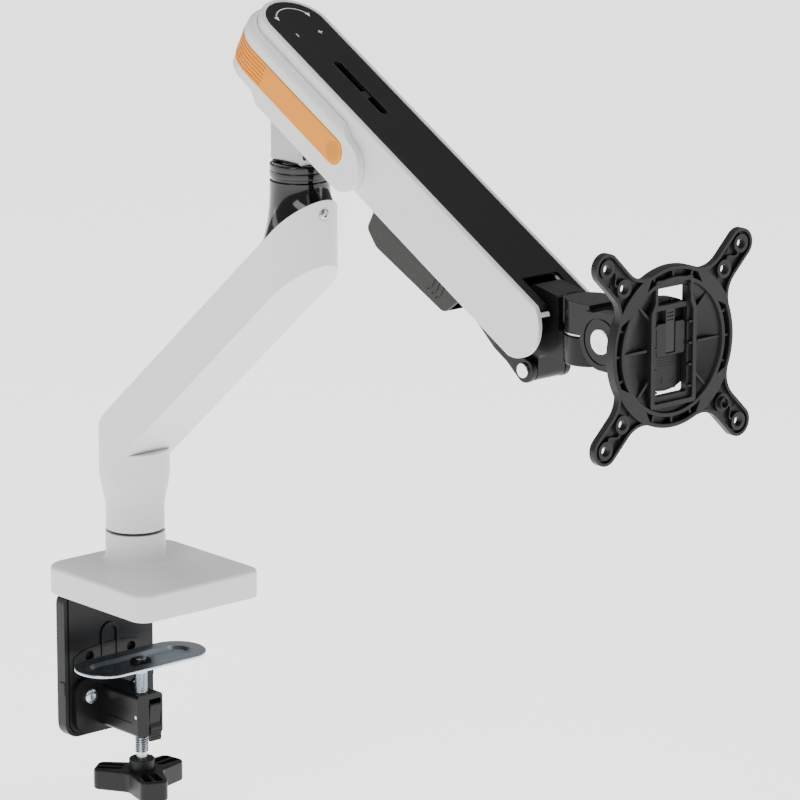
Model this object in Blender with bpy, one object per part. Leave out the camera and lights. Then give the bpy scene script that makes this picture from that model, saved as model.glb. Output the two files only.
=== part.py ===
"""Spring-balanced monitor arm on a desk clamp, modelled as separate pieces.

All sizes below are in millimetres; make_object() turns each finished mesh into metres.
Frame: +Z up, +X forward along the arm, +Y to its far side. The origin is on the desk,
on the axis of the column. The arm is at rest with every joint straight except the lift,
which lets the upper arm point down by ARM_PITCH degrees.
"""

import math

import bmesh
import bpy
from mathutils import Matrix, Vector

MM = 0.001
GAP = 0.3  # clearance between neighbouring pieces
RUN = 0.4  # clearance between pieces that turn on each other
THROUGH = 5.0  # how far a cutter runs past the wall it cuts

# Base
PAD_THICK = 1.6
BASE_FLOOR = 1.0  # lower edge of the base cover over the desk
BASE_WIDTH = 96.0
BASE_FRONT = 66.5
BASE_REAR = 33.5
BASE_HEIGHT = 17.5
BASE_WALL = 2.6
BASE_EDGE = 2.5
FRONT_CORNER = 10.0
REAR_CORNER = 14.0
BASE_PLATE_THICK = 3.0
COLLAR_R = 18.7
COLLAR_TOP = 39.0
COLLAR_BORE = 15.5
SEAM_RING = 1.0

# Column and lower arm
SPINDLE_R = 11.0
BUSH_WALL = 2.0
HUB_R = 18.3
ARM_R = 22.0
HUB_STRAIGHT = 12.0
HUB_FLARE = 36.5
SPINDLE_TOP = 92.0
LOWER_SLOPE = math.radians(40.9)
LOWER_TOP_AT_COLUMN = 118.2  # height of the lower arm's upper plane over the column axis
LOWER_DEPTH = 30.0
LOWER_EDGE = 7.0
CABLE_COVER_THICK = 2.4
CABLE_COVER_HALF = 18.5
CHANNEL_HALF = 12.5
CHANNEL_DEPTH = 17.0

# Elbow
ELBOW_X = 160.7
ELBOW_FLOOR = 238.0
COVER_TOP = 285.6
COVER_R = 17.8
COLLAR_THICK = 9.8
ELBOW_SCREW_Z = 267.5

# Yoke and pivots
CHEEK_THICK = 3.0
YOKE_HALF_WIDTH = 11.4
YOKE_HALF_LENGTH = 12.7
PIVOT_Z = 356.7
PIN_R = 4.0
LINK_DROP = 28.8
LINK_PIN_R = 3.0

# Upper arm, in its own frame: origin on the main pivot, +X along it, +Z out of its top cover
ARM_PITCH = math.radians(28.9)
ARM_LENGTH = 240.6
ARM_HALF = 22.5
ARM_WALL = 2.6
ARM_TOP = 18.2
ARM_BOTTOM = -20.2
ARM_END_R = 20.4
REAR_CENTRE = -11.3
TOP_HALF = 19.4
TOP_COVER_THICK = 2.2
NOTCH_HALF = 13.4
NOTCH_LENGTH = 14.0
HOUSING_HALF = 27.5
HOUSING_TOP = 6.0
HOUSING_SHOULDER = 11.5
HOUSING_BOTTOM = -25.0
HOUSING_REAR_BOTTOM = -20.0
HOUSING_END = 99.6
BAND_TOP = 1.8
BAND_BOTTOM = -14.2
BAND_END = 82.4
BAND_PROUD = 0.5
BAND_DEPTH = 1.6
FRAME_HALF = 18.6
FRAME_WALL = 2.6
FRAME_TOP = 13.6
FRAME_WEB = 2.2
FRAME_END_R = 11.0
GAUGE_START = 27.6
GAUGE_END = 77.6
GAUGE_HALF = 2.6

# Lift spring: a cylinder in the beam, its plunger, and the crosshead that the yoke's anchor pin drives
ANCHOR_DROP = 11.0
ANCHOR_R = 2.0
SPRING_LINE = -8.5
SPRING_R = 8.0
CYLINDER_START = 118.0
CYLINDER_END = 205.7
CYLINDER_BORE = 5.0
PLUNGER_R = 4.4
ROD_R = 2.2
ROD_END = 216.0
NUT_CENTRE = 58.0
POINTER_HALF = 3.0

# Lower link
LINK_HALF = 14.6
LINK_REAR_HALF = 8.0
LINK_PLATE = 2.2
LINK_DEPTH = 4.0
LINK_EYE_R = 6.5
LINK_FRONT_EYE_R = 7.3
LINK_FORK_HALF = 10.9
LINK_TAPER_START = 60.0
LINK_TAPER_END = 26.0
LINK_OPEN = 0.6  # extra clearance at the opened pivot

# Cable clip snapped round the lower link, measured from the upper arm
CLIP_START = 105.0
CLIP_END = 190.0
CLIP_RIM = -22.5
CLIP_DEEP = -47.0
CLIP_SHALLOW = -43.5
CLIP_WALL = 2.0

# Head
HEAD_HALF = 10.3
PAN_X = 409.0
LUG_R = 14.5
LUG_BOTTOM = 221.5
LUG_TOP = 238.0
HEAD_TOP = 260.5
HEAD_FRONT = 394.5
WASHER_THICK = 1.4
BLOCK_HALF = 14.0
BLOCK_TOP = 257.4
PAN_PIN_R = 5.0
TILT_X = 441.2
TILT_Z = 241.7
FORK_R = 16.3
FORK_HALF = 22.6
FORK_CHEEK = 7.6
TILT_PIN_R = 4.5
TONGUE_R = 12.5
CAP_R = 7.2

# Monitor plate
PLATE_FACE = 475.5
PLATE_THICK = 6.4
RING_R = 45.0
RING_WALL = 2.4
INNER_RING_R = 36.5
PLATE_EAR_R = 8.5
PLATE_EAR_FILLET = 16.0  # where an ear flows into the ring
EAR_THICK = 4.2
VESA_LARGE = 100.0
VESA_SMALL = 75.0
VESA_HOLE_R = 2.6
WINDOW_HALF = 17.0
WINDOW_HIGH = 38.0
WINDOW_LOW = -33.0
FLOOR_THICK = 2.0
CARRIER_FACE = 472.6

# Desk clamp
BRACKET_FACE = -27.5
BRACKET_THICK = 3.0
BRACKET_HALF = 32.0
BRACKET_BOTTOM = -96.0
NECK_HALF = 20.0
TAB_FRONT = -16.5
COVER_BACK = -36.6
COVER_HALF = 35.0
CLAMP_X = 3.6
SCREW_R = 4.3
CLAMP_BLOCK_HALF = 10.0
CLAMP_BLOCK_FRONT = 12.4
CLAMP_BLOCK_TOP = -65.6
CLAMP_BLOCK_BOTTOM = -92.4
FLANGE_THICK = 3.0
FLANGE_HALF = 29.5
FLANGE_TOP = -60.0
FLANGE_BOTTOM = -94.0
BOLT_Y = 18.5
BOLT_Z = -71.4
FOOT_Z = -44.0
FOOT_LENGTH = 94.0
FOOT_WIDTH = 39.0
FOOT_THICK = 2.0
FOOT_DISH = 2.6
KNOB_TOP = -109.0
KNOB_HEIGHT = 20.3
KNOB_R = 30.0
KNOB_LOBE_HALF = 8.5
LEVER_PIN_X = 10.0
LEVER_PIN_Z = -79.6


# Finishes: colour, roughness, metallic
FINISHES = {
    "white_paint": ((0.90, 0.90, 0.89), 0.35, 0.0),
    "black_paint": ((0.02, 0.02, 0.022), 0.5, 0.0),
    "black_gloss": ((0.012, 0.012, 0.014), 0.12, 0.0),
    "black_cover": ((0.02, 0.02, 0.022), 0.4, 0.0),
    "black_nylon": ((0.045, 0.045, 0.047), 0.6, 0.0),
    "grey_plastic": ((0.07, 0.07, 0.075), 0.6, 0.0),
    "orange_plastic": ((0.86, 0.33, 0.04), 0.4, 0.0),
    "brushed_steel": ((0.5, 0.5, 0.5), 0.4, 1.0),
    "zinc": ((0.75, 0.78, 0.8), 0.3, 1.0),
    "bush_plastic": ((0.75, 0.73, 0.66), 0.5, 0.0),
    "pad_foam": ((0.03, 0.03, 0.03), 0.9, 0.0),
}


# ---------------------------------------------------------------- helpers

def clear_scene():
    for item in list(bpy.data.objects):
        bpy.data.objects.remove(item, do_unlink=True)


def finish(name):
    """The shared material of this name."""
    found = bpy.data.materials.get(name)
    if found:
        return found
    colour, roughness, metallic = FINISHES[name]
    made = bpy.data.materials.new(name)
    made.use_nodes = True
    shader = made.node_tree.nodes["Principled BSDF"]
    shader.inputs["Base Color"].default_value = (*colour, 1)
    shader.inputs["Roughness"].default_value = roughness
    shader.inputs["Metallic"].default_value = metallic
    return made


def make_object(name, bm, material=None):
    """Turns a bmesh in millimetres into an object in metres."""
    bmesh.ops.remove_doubles(bm, verts=bm.verts, dist=0.001)
    bmesh.ops.recalc_face_normals(bm, faces=bm.faces)
    bmesh.ops.scale(bm, vec=(MM, MM, MM), verts=bm.verts)
    mesh = bpy.data.meshes.new(name)
    bm.to_mesh(mesh)
    bm.free()
    mesh.shade_smooth()
    mesh.set_sharp_from_angle(angle=math.radians(35))
    item = bpy.data.objects.new(name, mesh)
    bpy.context.scene.collection.objects.link(item)
    if material:
        mesh.materials.append(finish(material))
    return item


def helper(item):
    """Marks an object as a cutter or a core that a Boolean uses."""
    item.hide_render = True
    item.display_type = "WIRE"
    return item


def combine(item, others, operation):
    for other in others:
        helper(other)
        modifier = item.modifiers.new(f"{operation.lower()}_{other.name}"[:60], "BOOLEAN")
        modifier.operation = operation
        modifier.solver = "EXACT"
        modifier.object = other


def cut(item, *others):
    combine(item, others, "DIFFERENCE")


def join(item, *others):
    combine(item, others, "UNION")


def arc(cx, cy, r, start, end, steps):
    """Points on a circle from start to end, in degrees."""
    return [
        (
            cx + r * math.cos(math.radians(start + (end - start) * i / steps)),
            cy + r * math.sin(math.radians(start + (end - start) * i / steps)),
        )
        for i in range(steps + 1)
    ]


def rounded(corners, steps=5):
    """A closed outline from (x, y, radius) corners, each rounded by an arc."""
    points = []
    count = len(corners)
    for i, (x, y, r) in enumerate(corners):
        here = Vector((x, y))
        before = Vector(corners[i - 1][:2])
        after = Vector(corners[(i + 1) % count][:2])
        if r <= 0:
            points.append((x, y))
            continue
        to_before = (before - here).normalized()
        to_after = (after - here).normalized()
        half = to_before.angle(to_after) / 2
        centre = here + (to_before + to_after).normalized() * (r / math.sin(half))
        first = here + to_before * (r / math.tan(half)) - centre
        last = here + to_after * (r / math.tan(half)) - centre
        turn = first.angle_signed(last)
        for step in range(steps + 1):
            rotation = Matrix.Rotation(-turn * step / steps, 2)
            point = centre + rotation @ first
            points.append((point.x, point.y))
    return points


def box_outline(x0, x1, y0, y1, r=0.0, steps=4):
    return rounded([(x0, y0, r), (x1, y0, r), (x1, y1, r), (x0, y1, r)], steps)


def stadium(x0, x1, half, steps=12):
    """An outline with round ends centred on x0 and x1."""
    return arc(x1, 0, half, -90, 90, steps) + arc(x0, 0, half, 90, 270, steps)


def on_plane(axis, a, b, h):
    """A point at (a, b) on the plane across an axis, at h along that axis."""
    return {"X": (h, a, b), "Y": (a, h, b), "Z": (a, b, h)}[axis]


def prism(name, outline, low, high, axis="Z", material=None, bevel=0.0, steps=1):
    """An outline extruded from low to high along an axis, with its end edges beveled."""
    bm = bmesh.new()
    face = bm.faces.new([bm.verts.new(on_plane(axis, a, b, low)) for a, b in outline])
    moved = bmesh.ops.extrude_face_region(bm, geom=[face])["geom"]
    shift = Vector(on_plane(axis, 0, 0, high - low))
    top = [v for v in moved if isinstance(v, bmesh.types.BMVert)]
    bmesh.ops.translate(bm, vec=shift, verts=top)
    if bevel:
        direction = shift.normalized()
        rims = [
            e for e in bm.edges
            if abs((e.verts[0].co - e.verts[1].co).dot(direction)) < 1e-6
        ]
        bmesh.ops.bevel(
            bm, geom=rims, offset=bevel, segments=steps, profile=0.5,
            affect="EDGES", clamp_overlap=True, material=-1,
        )
    return make_object(name, bm, material)


def turned(name, profile, centre=(0, 0, 0), axis="Z", material=None, steps=24, ring=False):
    """A profile of (radius, height) points spun about an axis through centre."""
    bm = bmesh.new()
    verts = [bm.verts.new((r, 0, h)) for r, h in profile]
    edges = [bm.edges.new(pair) for pair in zip(verts, verts[1:])]
    if ring:
        edges.append(bm.edges.new((verts[-1], verts[0])))
    bmesh.ops.spin(
        bm, geom=verts + edges, cent=(0, 0, 0), axis=(0, 0, 1),
        angle=2 * math.pi, steps=steps, use_merge=True,
    )
    turn = {
        "Z": Matrix.Identity(4),
        "X": Matrix.Rotation(math.pi / 2, 4, "Y"),
        "Y": Matrix.Rotation(-math.pi / 2, 4, "X"),
    }[axis]
    bm.transform(Matrix.Translation(centre) @ turn)
    return make_object(name, bm, material)


def rod(name, r, low, high, centre=(0, 0, 0), axis="Z", material=None, steps=16, bevel=0.0):
    """A plain cylinder from low to high along an axis, chamfered if bevel is set."""
    profile = [(0, low), (r - bevel, low), (r, low + bevel), (r, high - bevel), (r - bevel, high), (0, high)]
    if not bevel:
        profile = [(0, low), (r, low), (r, high), (0, high)]
    return turned(name, profile, centre, axis, material, steps)


def tube(name, inner, outer, low, high, centre=(0, 0, 0), axis="Z", material=None, steps=24):
    profile = [(inner, low), (outer, low), (outer, high), (inner, high)]
    return turned(name, profile, centre, axis, material, steps, ring=True)


def socket_screw(name, head_r, head_h, shank_r, length, centre, axis, material, sign=1):
    """A button-head screw with a hex socket: its head starts at centre and the shank runs back."""
    profile = [
        (0, -length * sign), (shank_r, -length * sign), (shank_r, 0), (head_r, 0),
        (head_r, head_h * 0.35 * sign), (head_r * 0.72, head_h * sign), (0, head_h * sign),
    ]
    screw = turned(name, profile, centre, axis, material, 14)
    low, high = sorted((head_h * 0.35 * sign, (head_h + THROUGH) * sign))
    cut(screw, rod(f"{name}_socket", head_r * 0.42, low, high, centre, axis, steps=6))
    return screw


def empty(name, place, turn=0.0):
    """A joint marker at a place in millimetres, turned about Y."""
    item = bpy.data.objects.new(name, None)
    item.location = Vector(place) * MM
    item.rotation_euler = (0, turn, 0)
    bpy.context.scene.collection.objects.link(item)
    bpy.context.view_layer.update()
    return item


def family(item):
    """An object with every cutter and core that its Booleans use."""
    found = [item]
    for modifier in item.modifiers:
        if modifier.type == "BOOLEAN":
            found += family(modifier.object)
    return found


def hang(joint, *items):
    """Parents finished world-space pieces to a joint marker without moving them."""
    for item in items:
        for each in family(item):
            each.parent = joint
            each.matrix_parent_inverse = joint.matrix_world.inverted()


def hang_local(joint, *items):
    """Parents pieces that were modelled in the joint marker's own frame."""
    for item in items:
        for each in family(item):
            each.parent = joint


# ---------------------------------------------------------------- base

def base_outline(inset=0.0):
    front = BASE_FRONT - inset
    rear = -BASE_REAR + inset
    half = BASE_WIDTH / 2 - inset
    near = FRONT_CORNER - inset if inset < FRONT_CORNER - 1 else 1.0
    far = REAR_CORNER - inset
    return rounded(
        [(rear, -half, far), (front, -half, near), (front, half, near), (rear, half, far)], 8
    )


def build_base():
    floor = BASE_FLOOR
    top = floor + BASE_HEIGHT
    trim = box_outline(-BASE_REAR - THROUGH, BRACKET_FACE + GAP, -BASE_WIDTH, BASE_WIDTH)
    inside = BASE_WALL + 0.4

    pad = prism("desk_pad", base_outline(inside), 0, PAD_THICK, material="pad_foam")
    cut(pad, prism("pad_trim", trim, -THROUGH, PAD_THICK + THROUGH))

    plate_low = PAD_THICK + GAP
    plate_high = plate_low + BASE_PLATE_THICK
    plate = prism("base_plate", base_outline(inside), plate_low, plate_high, material="black_paint")
    bolt_r = 3.2
    head_r = 6.6
    cut(
        plate,
        prism("plate_trim", trim, -THROUGH, plate_high + THROUGH),
        turned("plate_countersink", [
            (0, plate_low - 1), (head_r + GAP + 1, plate_low - 1), (bolt_r + GAP, plate_low + 2.6),
            (bolt_r + GAP, plate_high + 1), (0, plate_high + 1),
        ], steps=16),
    )

    spindle_low = plate_high + GAP
    bolt_high = spindle_low + 16
    turned("spindle_bolt", [
        (0, plate_low), (head_r, plate_low), (bolt_r, plate_low + 2.6), (bolt_r, bolt_high), (0, bolt_high),
    ], material="zinc", steps=12)
    spindle = turned("base_spindle", [
        (0, spindle_low), (14.5, spindle_low), (14.5, spindle_low + 3.4), (SPINDLE_R, spindle_low + 3.4),
        (SPINDLE_R, SPINDLE_TOP), (0, SPINDLE_TOP),
    ], material="brushed_steel", steps=24)
    cap_r = 3.0
    cut(
        spindle,
        rod("spindle_bolt_hole", bolt_r + GAP, spindle_low - 1, bolt_high + 2, steps=12),
        rod("spindle_cap_hole", cap_r + GAP, SPINDLE_TOP - 14, SPINDLE_TOP + 1, steps=12),
    )
    socket_screw("spindle_screw", SPINDLE_R + 1.6, 4.0, cap_r, 12, (0, 0, SPINDLE_TOP + GAP), "Z", "zinc")

    # White cover: a rounded slab, hollow below, with the collar that carries the column's foot
    cover_loops = [(0.0, floor), (0.0, top - BASE_EDGE), (BASE_EDGE * 0.3, top - BASE_EDGE * 0.3), (BASE_EDGE, top)]
    bm = bmesh.new()
    rings = [[bm.verts.new((x, y, z)) for x, y in base_outline(inset)] for inset, z in cover_loops]
    for lower, upper in zip(rings, rings[1:]):
        edges = []
        for ring in (lower, upper):
            for a, b in zip(ring, ring[1:] + ring[:1]):
                edges.append(bm.edges.get((a, b)) or bm.edges.new((a, b)))
        bmesh.ops.bridge_loops(bm, edges=edges)
    bm.faces.new(rings[0][::-1])
    bm.faces.new(rings[-1])
    cover = make_object("base_cover", bm, "white_paint")
    fillet = arc(COLLAR_R + 5, top + 5, 5, 270, 180, 5)
    join(cover, turned("collar_core", [
        (0, top - 2), (COLLAR_R + 6.5, top - 2), (COLLAR_R + 6.0, top - 0.02), *fillet,
        (COLLAR_R, COLLAR_TOP - 0.6), (COLLAR_R - 0.6, COLLAR_TOP), (0, COLLAR_TOP),
    ], steps=28))
    cut(
        cover,
        prism("cover_hollow", base_outline(BASE_WALL), floor - THROUGH, top - BASE_WALL),
        rod("collar_bore", COLLAR_BORE, top - BASE_WALL - 1, COLLAR_TOP + THROUGH, steps=24),
    )

    ring_low = COLLAR_TOP + GAP
    tube("seam_ring", SPINDLE_R + GAP, HUB_R - 0.5, ring_low, ring_low + SEAM_RING, material="black_nylon", steps=28)


# ---------------------------------------------------------------- desk clamp

def build_bracket():
    plate_high = PAD_THICK + GAP + BASE_PLATE_THICK
    tab_low = plate_high + GAP
    tab_high = tab_low + BRACKET_THICK
    back = BRACKET_FACE - BRACKET_THICK
    shoulder = BASE_FLOOR - 1.5

    outline = rounded([
        (-BRACKET_HALF, BRACKET_BOTTOM, 9), (BRACKET_HALF, BRACKET_BOTTOM, 9), (BRACKET_HALF, shoulder, 1.5),
        (NECK_HALF, shoulder, 0), (NECK_HALF, tab_high, 0), (-NECK_HALF, tab_high, 0),
        (-NECK_HALF, shoulder, 0), (-BRACKET_HALF, shoulder, 1.5),
    ], 5)
    bracket = prism("rear_bracket", outline, back, BRACKET_FACE, "X", "black_paint")
    tab = box_outline(BRACKET_FACE - 1, TAB_FRONT, -NECK_HALF + 0.05, NECK_HALF - 0.05)
    join(bracket, prism("bracket_tab", tab, tab_low, tab_high - 0.02))
    bolt_hole_r = 2.8
    for side in (-1, 1):
        cut(
            bracket,
            rod(f"bracket_tab_hole_{side}", 2.5, tab_low - 1, tab_high + 1, (-22, side * 12, 0), steps=12),
            rod(f"bracket_upper_hole_{side}", 3.4, back - 1, BRACKET_FACE + 1, (0, side * 16.5, -46.5), "X", steps=12),
            rod(f"bracket_bolt_hole_{side}", bolt_hole_r, back - 1, BRACKET_FACE + 1,
                (0, side * BOLT_Y, BOLT_Z), "X", steps=12),
        )
        label = "near" if side < 0 else "far"
        socket_screw(f"tab_screw_{label}", 4.2, 2.2, 2.1, 3.0, (-22, side * 12, tab_high + GAP), "Z", "zinc")

    # Plastic cover behind the steel: a shallow tray with two posts that reach the steel
    inner = BRACKET_HALF + GAP
    cover_low = BRACKET_BOTTOM - 1.8
    tray = box_outline(-COVER_HALF, COVER_HALF, cover_low, shoulder - 0.6, 10, 6)
    cover = prism("rear_cover", tray, COVER_BACK, BRACKET_FACE - 0.9, "X", "black_nylon", bevel=0.8)
    hollow = box_outline(-inner, inner, BRACKET_BOTTOM - GAP, shoulder + THROUGH, 9, 6)
    cut(cover, prism("cover_tray", hollow, COVER_BACK + 2.2, BRACKET_FACE + 1, "X"))
    for side in (-1, 1):
        join(cover, rod(f"cover_post_{side}", 5.0, COVER_BACK + 1.0, back - GAP, (0, side * 16.5, -46.5), "X", steps=12))

    # Clamp arm: a flange on the steel plate and a block for the screw
    flange_low = BRACKET_FACE + GAP
    flange_high = flange_low + FLANGE_THICK
    flange = box_outline(-FLANGE_HALF, FLANGE_HALF, FLANGE_BOTTOM, FLANGE_TOP, 8, 5)
    arm = prism("clamp_arm", flange, flange_low, flange_high, "X", "black_paint", bevel=0.6)
    block = box_outline(CLAMP_BLOCK_BOTTOM, CLAMP_BLOCK_TOP, -CLAMP_BLOCK_HALF, CLAMP_BLOCK_HALF)
    block = [(y, z) for z, y in block]
    join(arm, prism("clamp_block", block, flange_low + 1, CLAMP_BLOCK_FRONT, "X", bevel=0.8))
    pocket_low = LEVER_PIN_Z - 14
    pocket_high = LEVER_PIN_Z + 10.5
    cut(
        arm,
        rod("clamp_bore", SCREW_R + RUN, CLAMP_BLOCK_BOTTOM - 1, CLAMP_BLOCK_TOP + 1, (CLAMP_X, 0, 0), steps=16),
        prism("lever_pocket", box_outline(-0.6, CLAMP_BLOCK_HALF - 1.4, pocket_low, pocket_high),
              CLAMP_X + 2, CLAMP_BLOCK_FRONT + THROUGH, "X"),
        rod("lever_pin_hole", 1.3 + GAP, -CLAMP_BLOCK_HALF - 1, CLAMP_BLOCK_HALF + 1,
            (LEVER_PIN_X, 0, LEVER_PIN_Z), "Y", steps=12),
    )
    for side in (-1, 1):
        label = "near" if side < 0 else "far"
        cut(arm, rod(f"flange_hole_{side}", bolt_hole_r, flange_low - 1, flange_high + 1,
                     (0, side * BOLT_Y, BOLT_Z), "X", steps=12))
        socket_screw(f"clamp_bolt_{label}", 4.7, 2.7, 2.4, 8.6,
                     (flange_high + GAP, side * BOLT_Y, BOLT_Z), "X", "zinc")

    # Quick-release lever in the block's pocket, on its own pin
    rod("lever_pin", 1.3, -CLAMP_BLOCK_HALF + 0.4, CLAMP_BLOCK_HALF - 0.4,
        (LEVER_PIN_X, 0, LEVER_PIN_Z), "Y", "zinc", 12)
    face = CLAMP_BLOCK_FRONT + 0.2
    lever_outline = rounded([
        (CLAMP_X + SCREW_R + 1.5, LEVER_PIN_Z - 5, 0.6), (LEVER_PIN_X + 0.6, LEVER_PIN_Z - 17, 0.8),
        (face + 0.8, LEVER_PIN_Z - 17, 1.2), (face + 0.8, LEVER_PIN_Z + 7.4, 1.2),
        (CLAMP_X + SCREW_R + 1.5, LEVER_PIN_Z + 7.4, 0.6),
    ], 3)
    lever = prism("release_lever", lever_outline, -0.2, CLAMP_BLOCK_HALF - 1.8, "Y", "black_nylon")
    cut(lever, rod("lever_eye", 1.3 + GAP, -THROUGH, CLAMP_BLOCK_HALF + THROUGH,
                   (LEVER_PIN_X, 0, LEVER_PIN_Z), "Y", steps=12))
    joint = empty("release_lever_axis", (LEVER_PIN_X, 0, LEVER_PIN_Z))
    hang(joint, lever)


def build_foot_and_knob():
    """The pressure plate with its retainer, the threaded rod and the knob."""
    half = FOOT_WIDTH / 2
    run = FOOT_LENGTH / 2 - half
    along_y = [(CLAMP_X + b, a) for a, b in stadium(-run, run, half, 12)]
    inner = [(CLAMP_X + b, a) for a, b in stadium(-run, run, half - 8.5, 12)]
    foot = prism("pressure_plate", along_y, FOOT_Z - FOOT_THICK, FOOT_Z, "Z", "zinc", bevel=0.5)
    join(foot, prism("foot_dish_core", [(CLAMP_X + b, a) for a, b in stadium(-run, run, half - 6.5, 12)],
                     FOOT_Z - FOOT_THICK - FOOT_DISH, FOOT_Z - 0.5, bevel=1.2))
    dish_floor = FOOT_Z - FOOT_DISH
    cut(
        foot,
        prism("foot_dish", inner, dish_floor, FOOT_Z + THROUGH),
        rod("foot_hole", SCREW_R + RUN, FOOT_Z - 20, FOOT_Z + 2, (CLAMP_X, 0, 0), steps=16),
    )

    # Rod: its reduced end passes the plate and takes the retainer disc above it
    screw_low = KNOB_TOP - 14
    screw_high = FOOT_Z - FOOT_THICK - FOOT_DISH + 1.6
    screw = turned("clamp_screw", [
        (0, screw_low), (SCREW_R - 0.9, screw_low), (SCREW_R - 0.9, KNOB_TOP + 3.4), (SCREW_R, KNOB_TOP + 4.2),
        (SCREW_R, FOOT_Z - 9), (SCREW_R, screw_high - 0.4), (SCREW_R - 0.4, screw_high), (0, screw_high),
    ], (CLAMP_X, 0, 0), material="zinc", steps=16)
    tap_r = 1.6
    cut(screw, rod("screw_tap", tap_r + GAP, screw_high - 6, screw_high + 1, (CLAMP_X, 0, 0), steps=12))
    retainer_low = dish_floor + GAP
    tube("plate_retainer", tap_r + GAP, 6.8, retainer_low, retainer_low + 1.6,
         (CLAMP_X, 0, 0), material="black_nylon", steps=16)
    socket_screw("retainer_screw", 3.6, 1.6, tap_r, 4.2,
                 (CLAMP_X, 0, retainer_low + 1.6 + GAP), "Z", "zinc")

    # Three-lobed knob, hollow from above, with ribs and a hub
    knob_low = KNOB_TOP - KNOB_HEIGHT
    lobes = [-22, 98, 218]
    corners = []
    for centre in lobes:
        angle = math.radians(centre)
        out = Vector((math.cos(angle), math.sin(angle)))
        side = Vector((-out.y, out.x))
        for sign in (-1, 1):
            tip = out * KNOB_R + side * (sign * KNOB_LOBE_HALF)
            corners.append((CLAMP_X + tip.x, tip.y, 4.0))
        waist = Vector((math.cos(angle + math.pi / 3), math.sin(angle + math.pi / 3))) * 13.0
        corners.append((CLAMP_X + waist.x, waist.y, 6.0))
    knob = prism("clamp_knob", rounded(corners, 4), knob_low, KNOB_TOP - 7, "Z", "black_nylon", bevel=1.2)
    for i, centre in enumerate(lobes):
        angle = math.radians(centre)
        for j, sign in enumerate((-1, 1)):
            out = Vector((math.cos(angle), math.sin(angle)))
            side = Vector((-out.y, out.x)) * sign
            cell = [out * 11 + side * 1.0, out * (KNOB_R - 2.2) + side * 1.0,
                    out * (KNOB_R - 2.2) + side * (KNOB_LOBE_HALF - 2.6), out * 13.5 + side * 5.0]
            if sign < 0:
                cell.reverse()
            outline = [(CLAMP_X + p.x, p.y) for p in cell]
            cut(knob, prism(f"knob_cell_{i}_{j}", outline, knob_low + 4, KNOB_TOP + THROUGH))
    join(knob, rod("knob_hub_core", 8.2, knob_low + 5, KNOB_TOP, (CLAMP_X, 0, 0), steps=16))
    cut(knob, rod("knob_bore", SCREW_R - 0.9 + GAP, screw_low - 1, KNOB_TOP + 1, (CLAMP_X, 0, 0), steps=16))

    feed = empty("clamp_feed_axis", (CLAMP_X, 0, FOOT_Z))
    pieces = ["pressure_plate", "plate_retainer", "retainer_screw", "clamp_screw", "clamp_knob"]
    hang(feed, *[bpy.data.objects[name] for name in pieces])


# ---------------------------------------------------------------- lower arm

def slope_frame():
    """The frame of the lower arm's upper plane: +X up the slope, +Z out of the plane."""
    return Matrix.Translation(Vector((0, 0, LOWER_TOP_AT_COLUMN))) @ Matrix.Rotation(-LOWER_SLOPE, 4, "Y")


def in_slope(item):
    """Moves a piece that was modelled in the slope's frame to its place."""
    frame = slope_frame()
    frame.translation *= MM
    item.data.transform(frame)
    return item


def upper_plane_z(x):
    return LOWER_TOP_AT_COLUMN + x * math.tan(LOWER_SLOPE)


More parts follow.
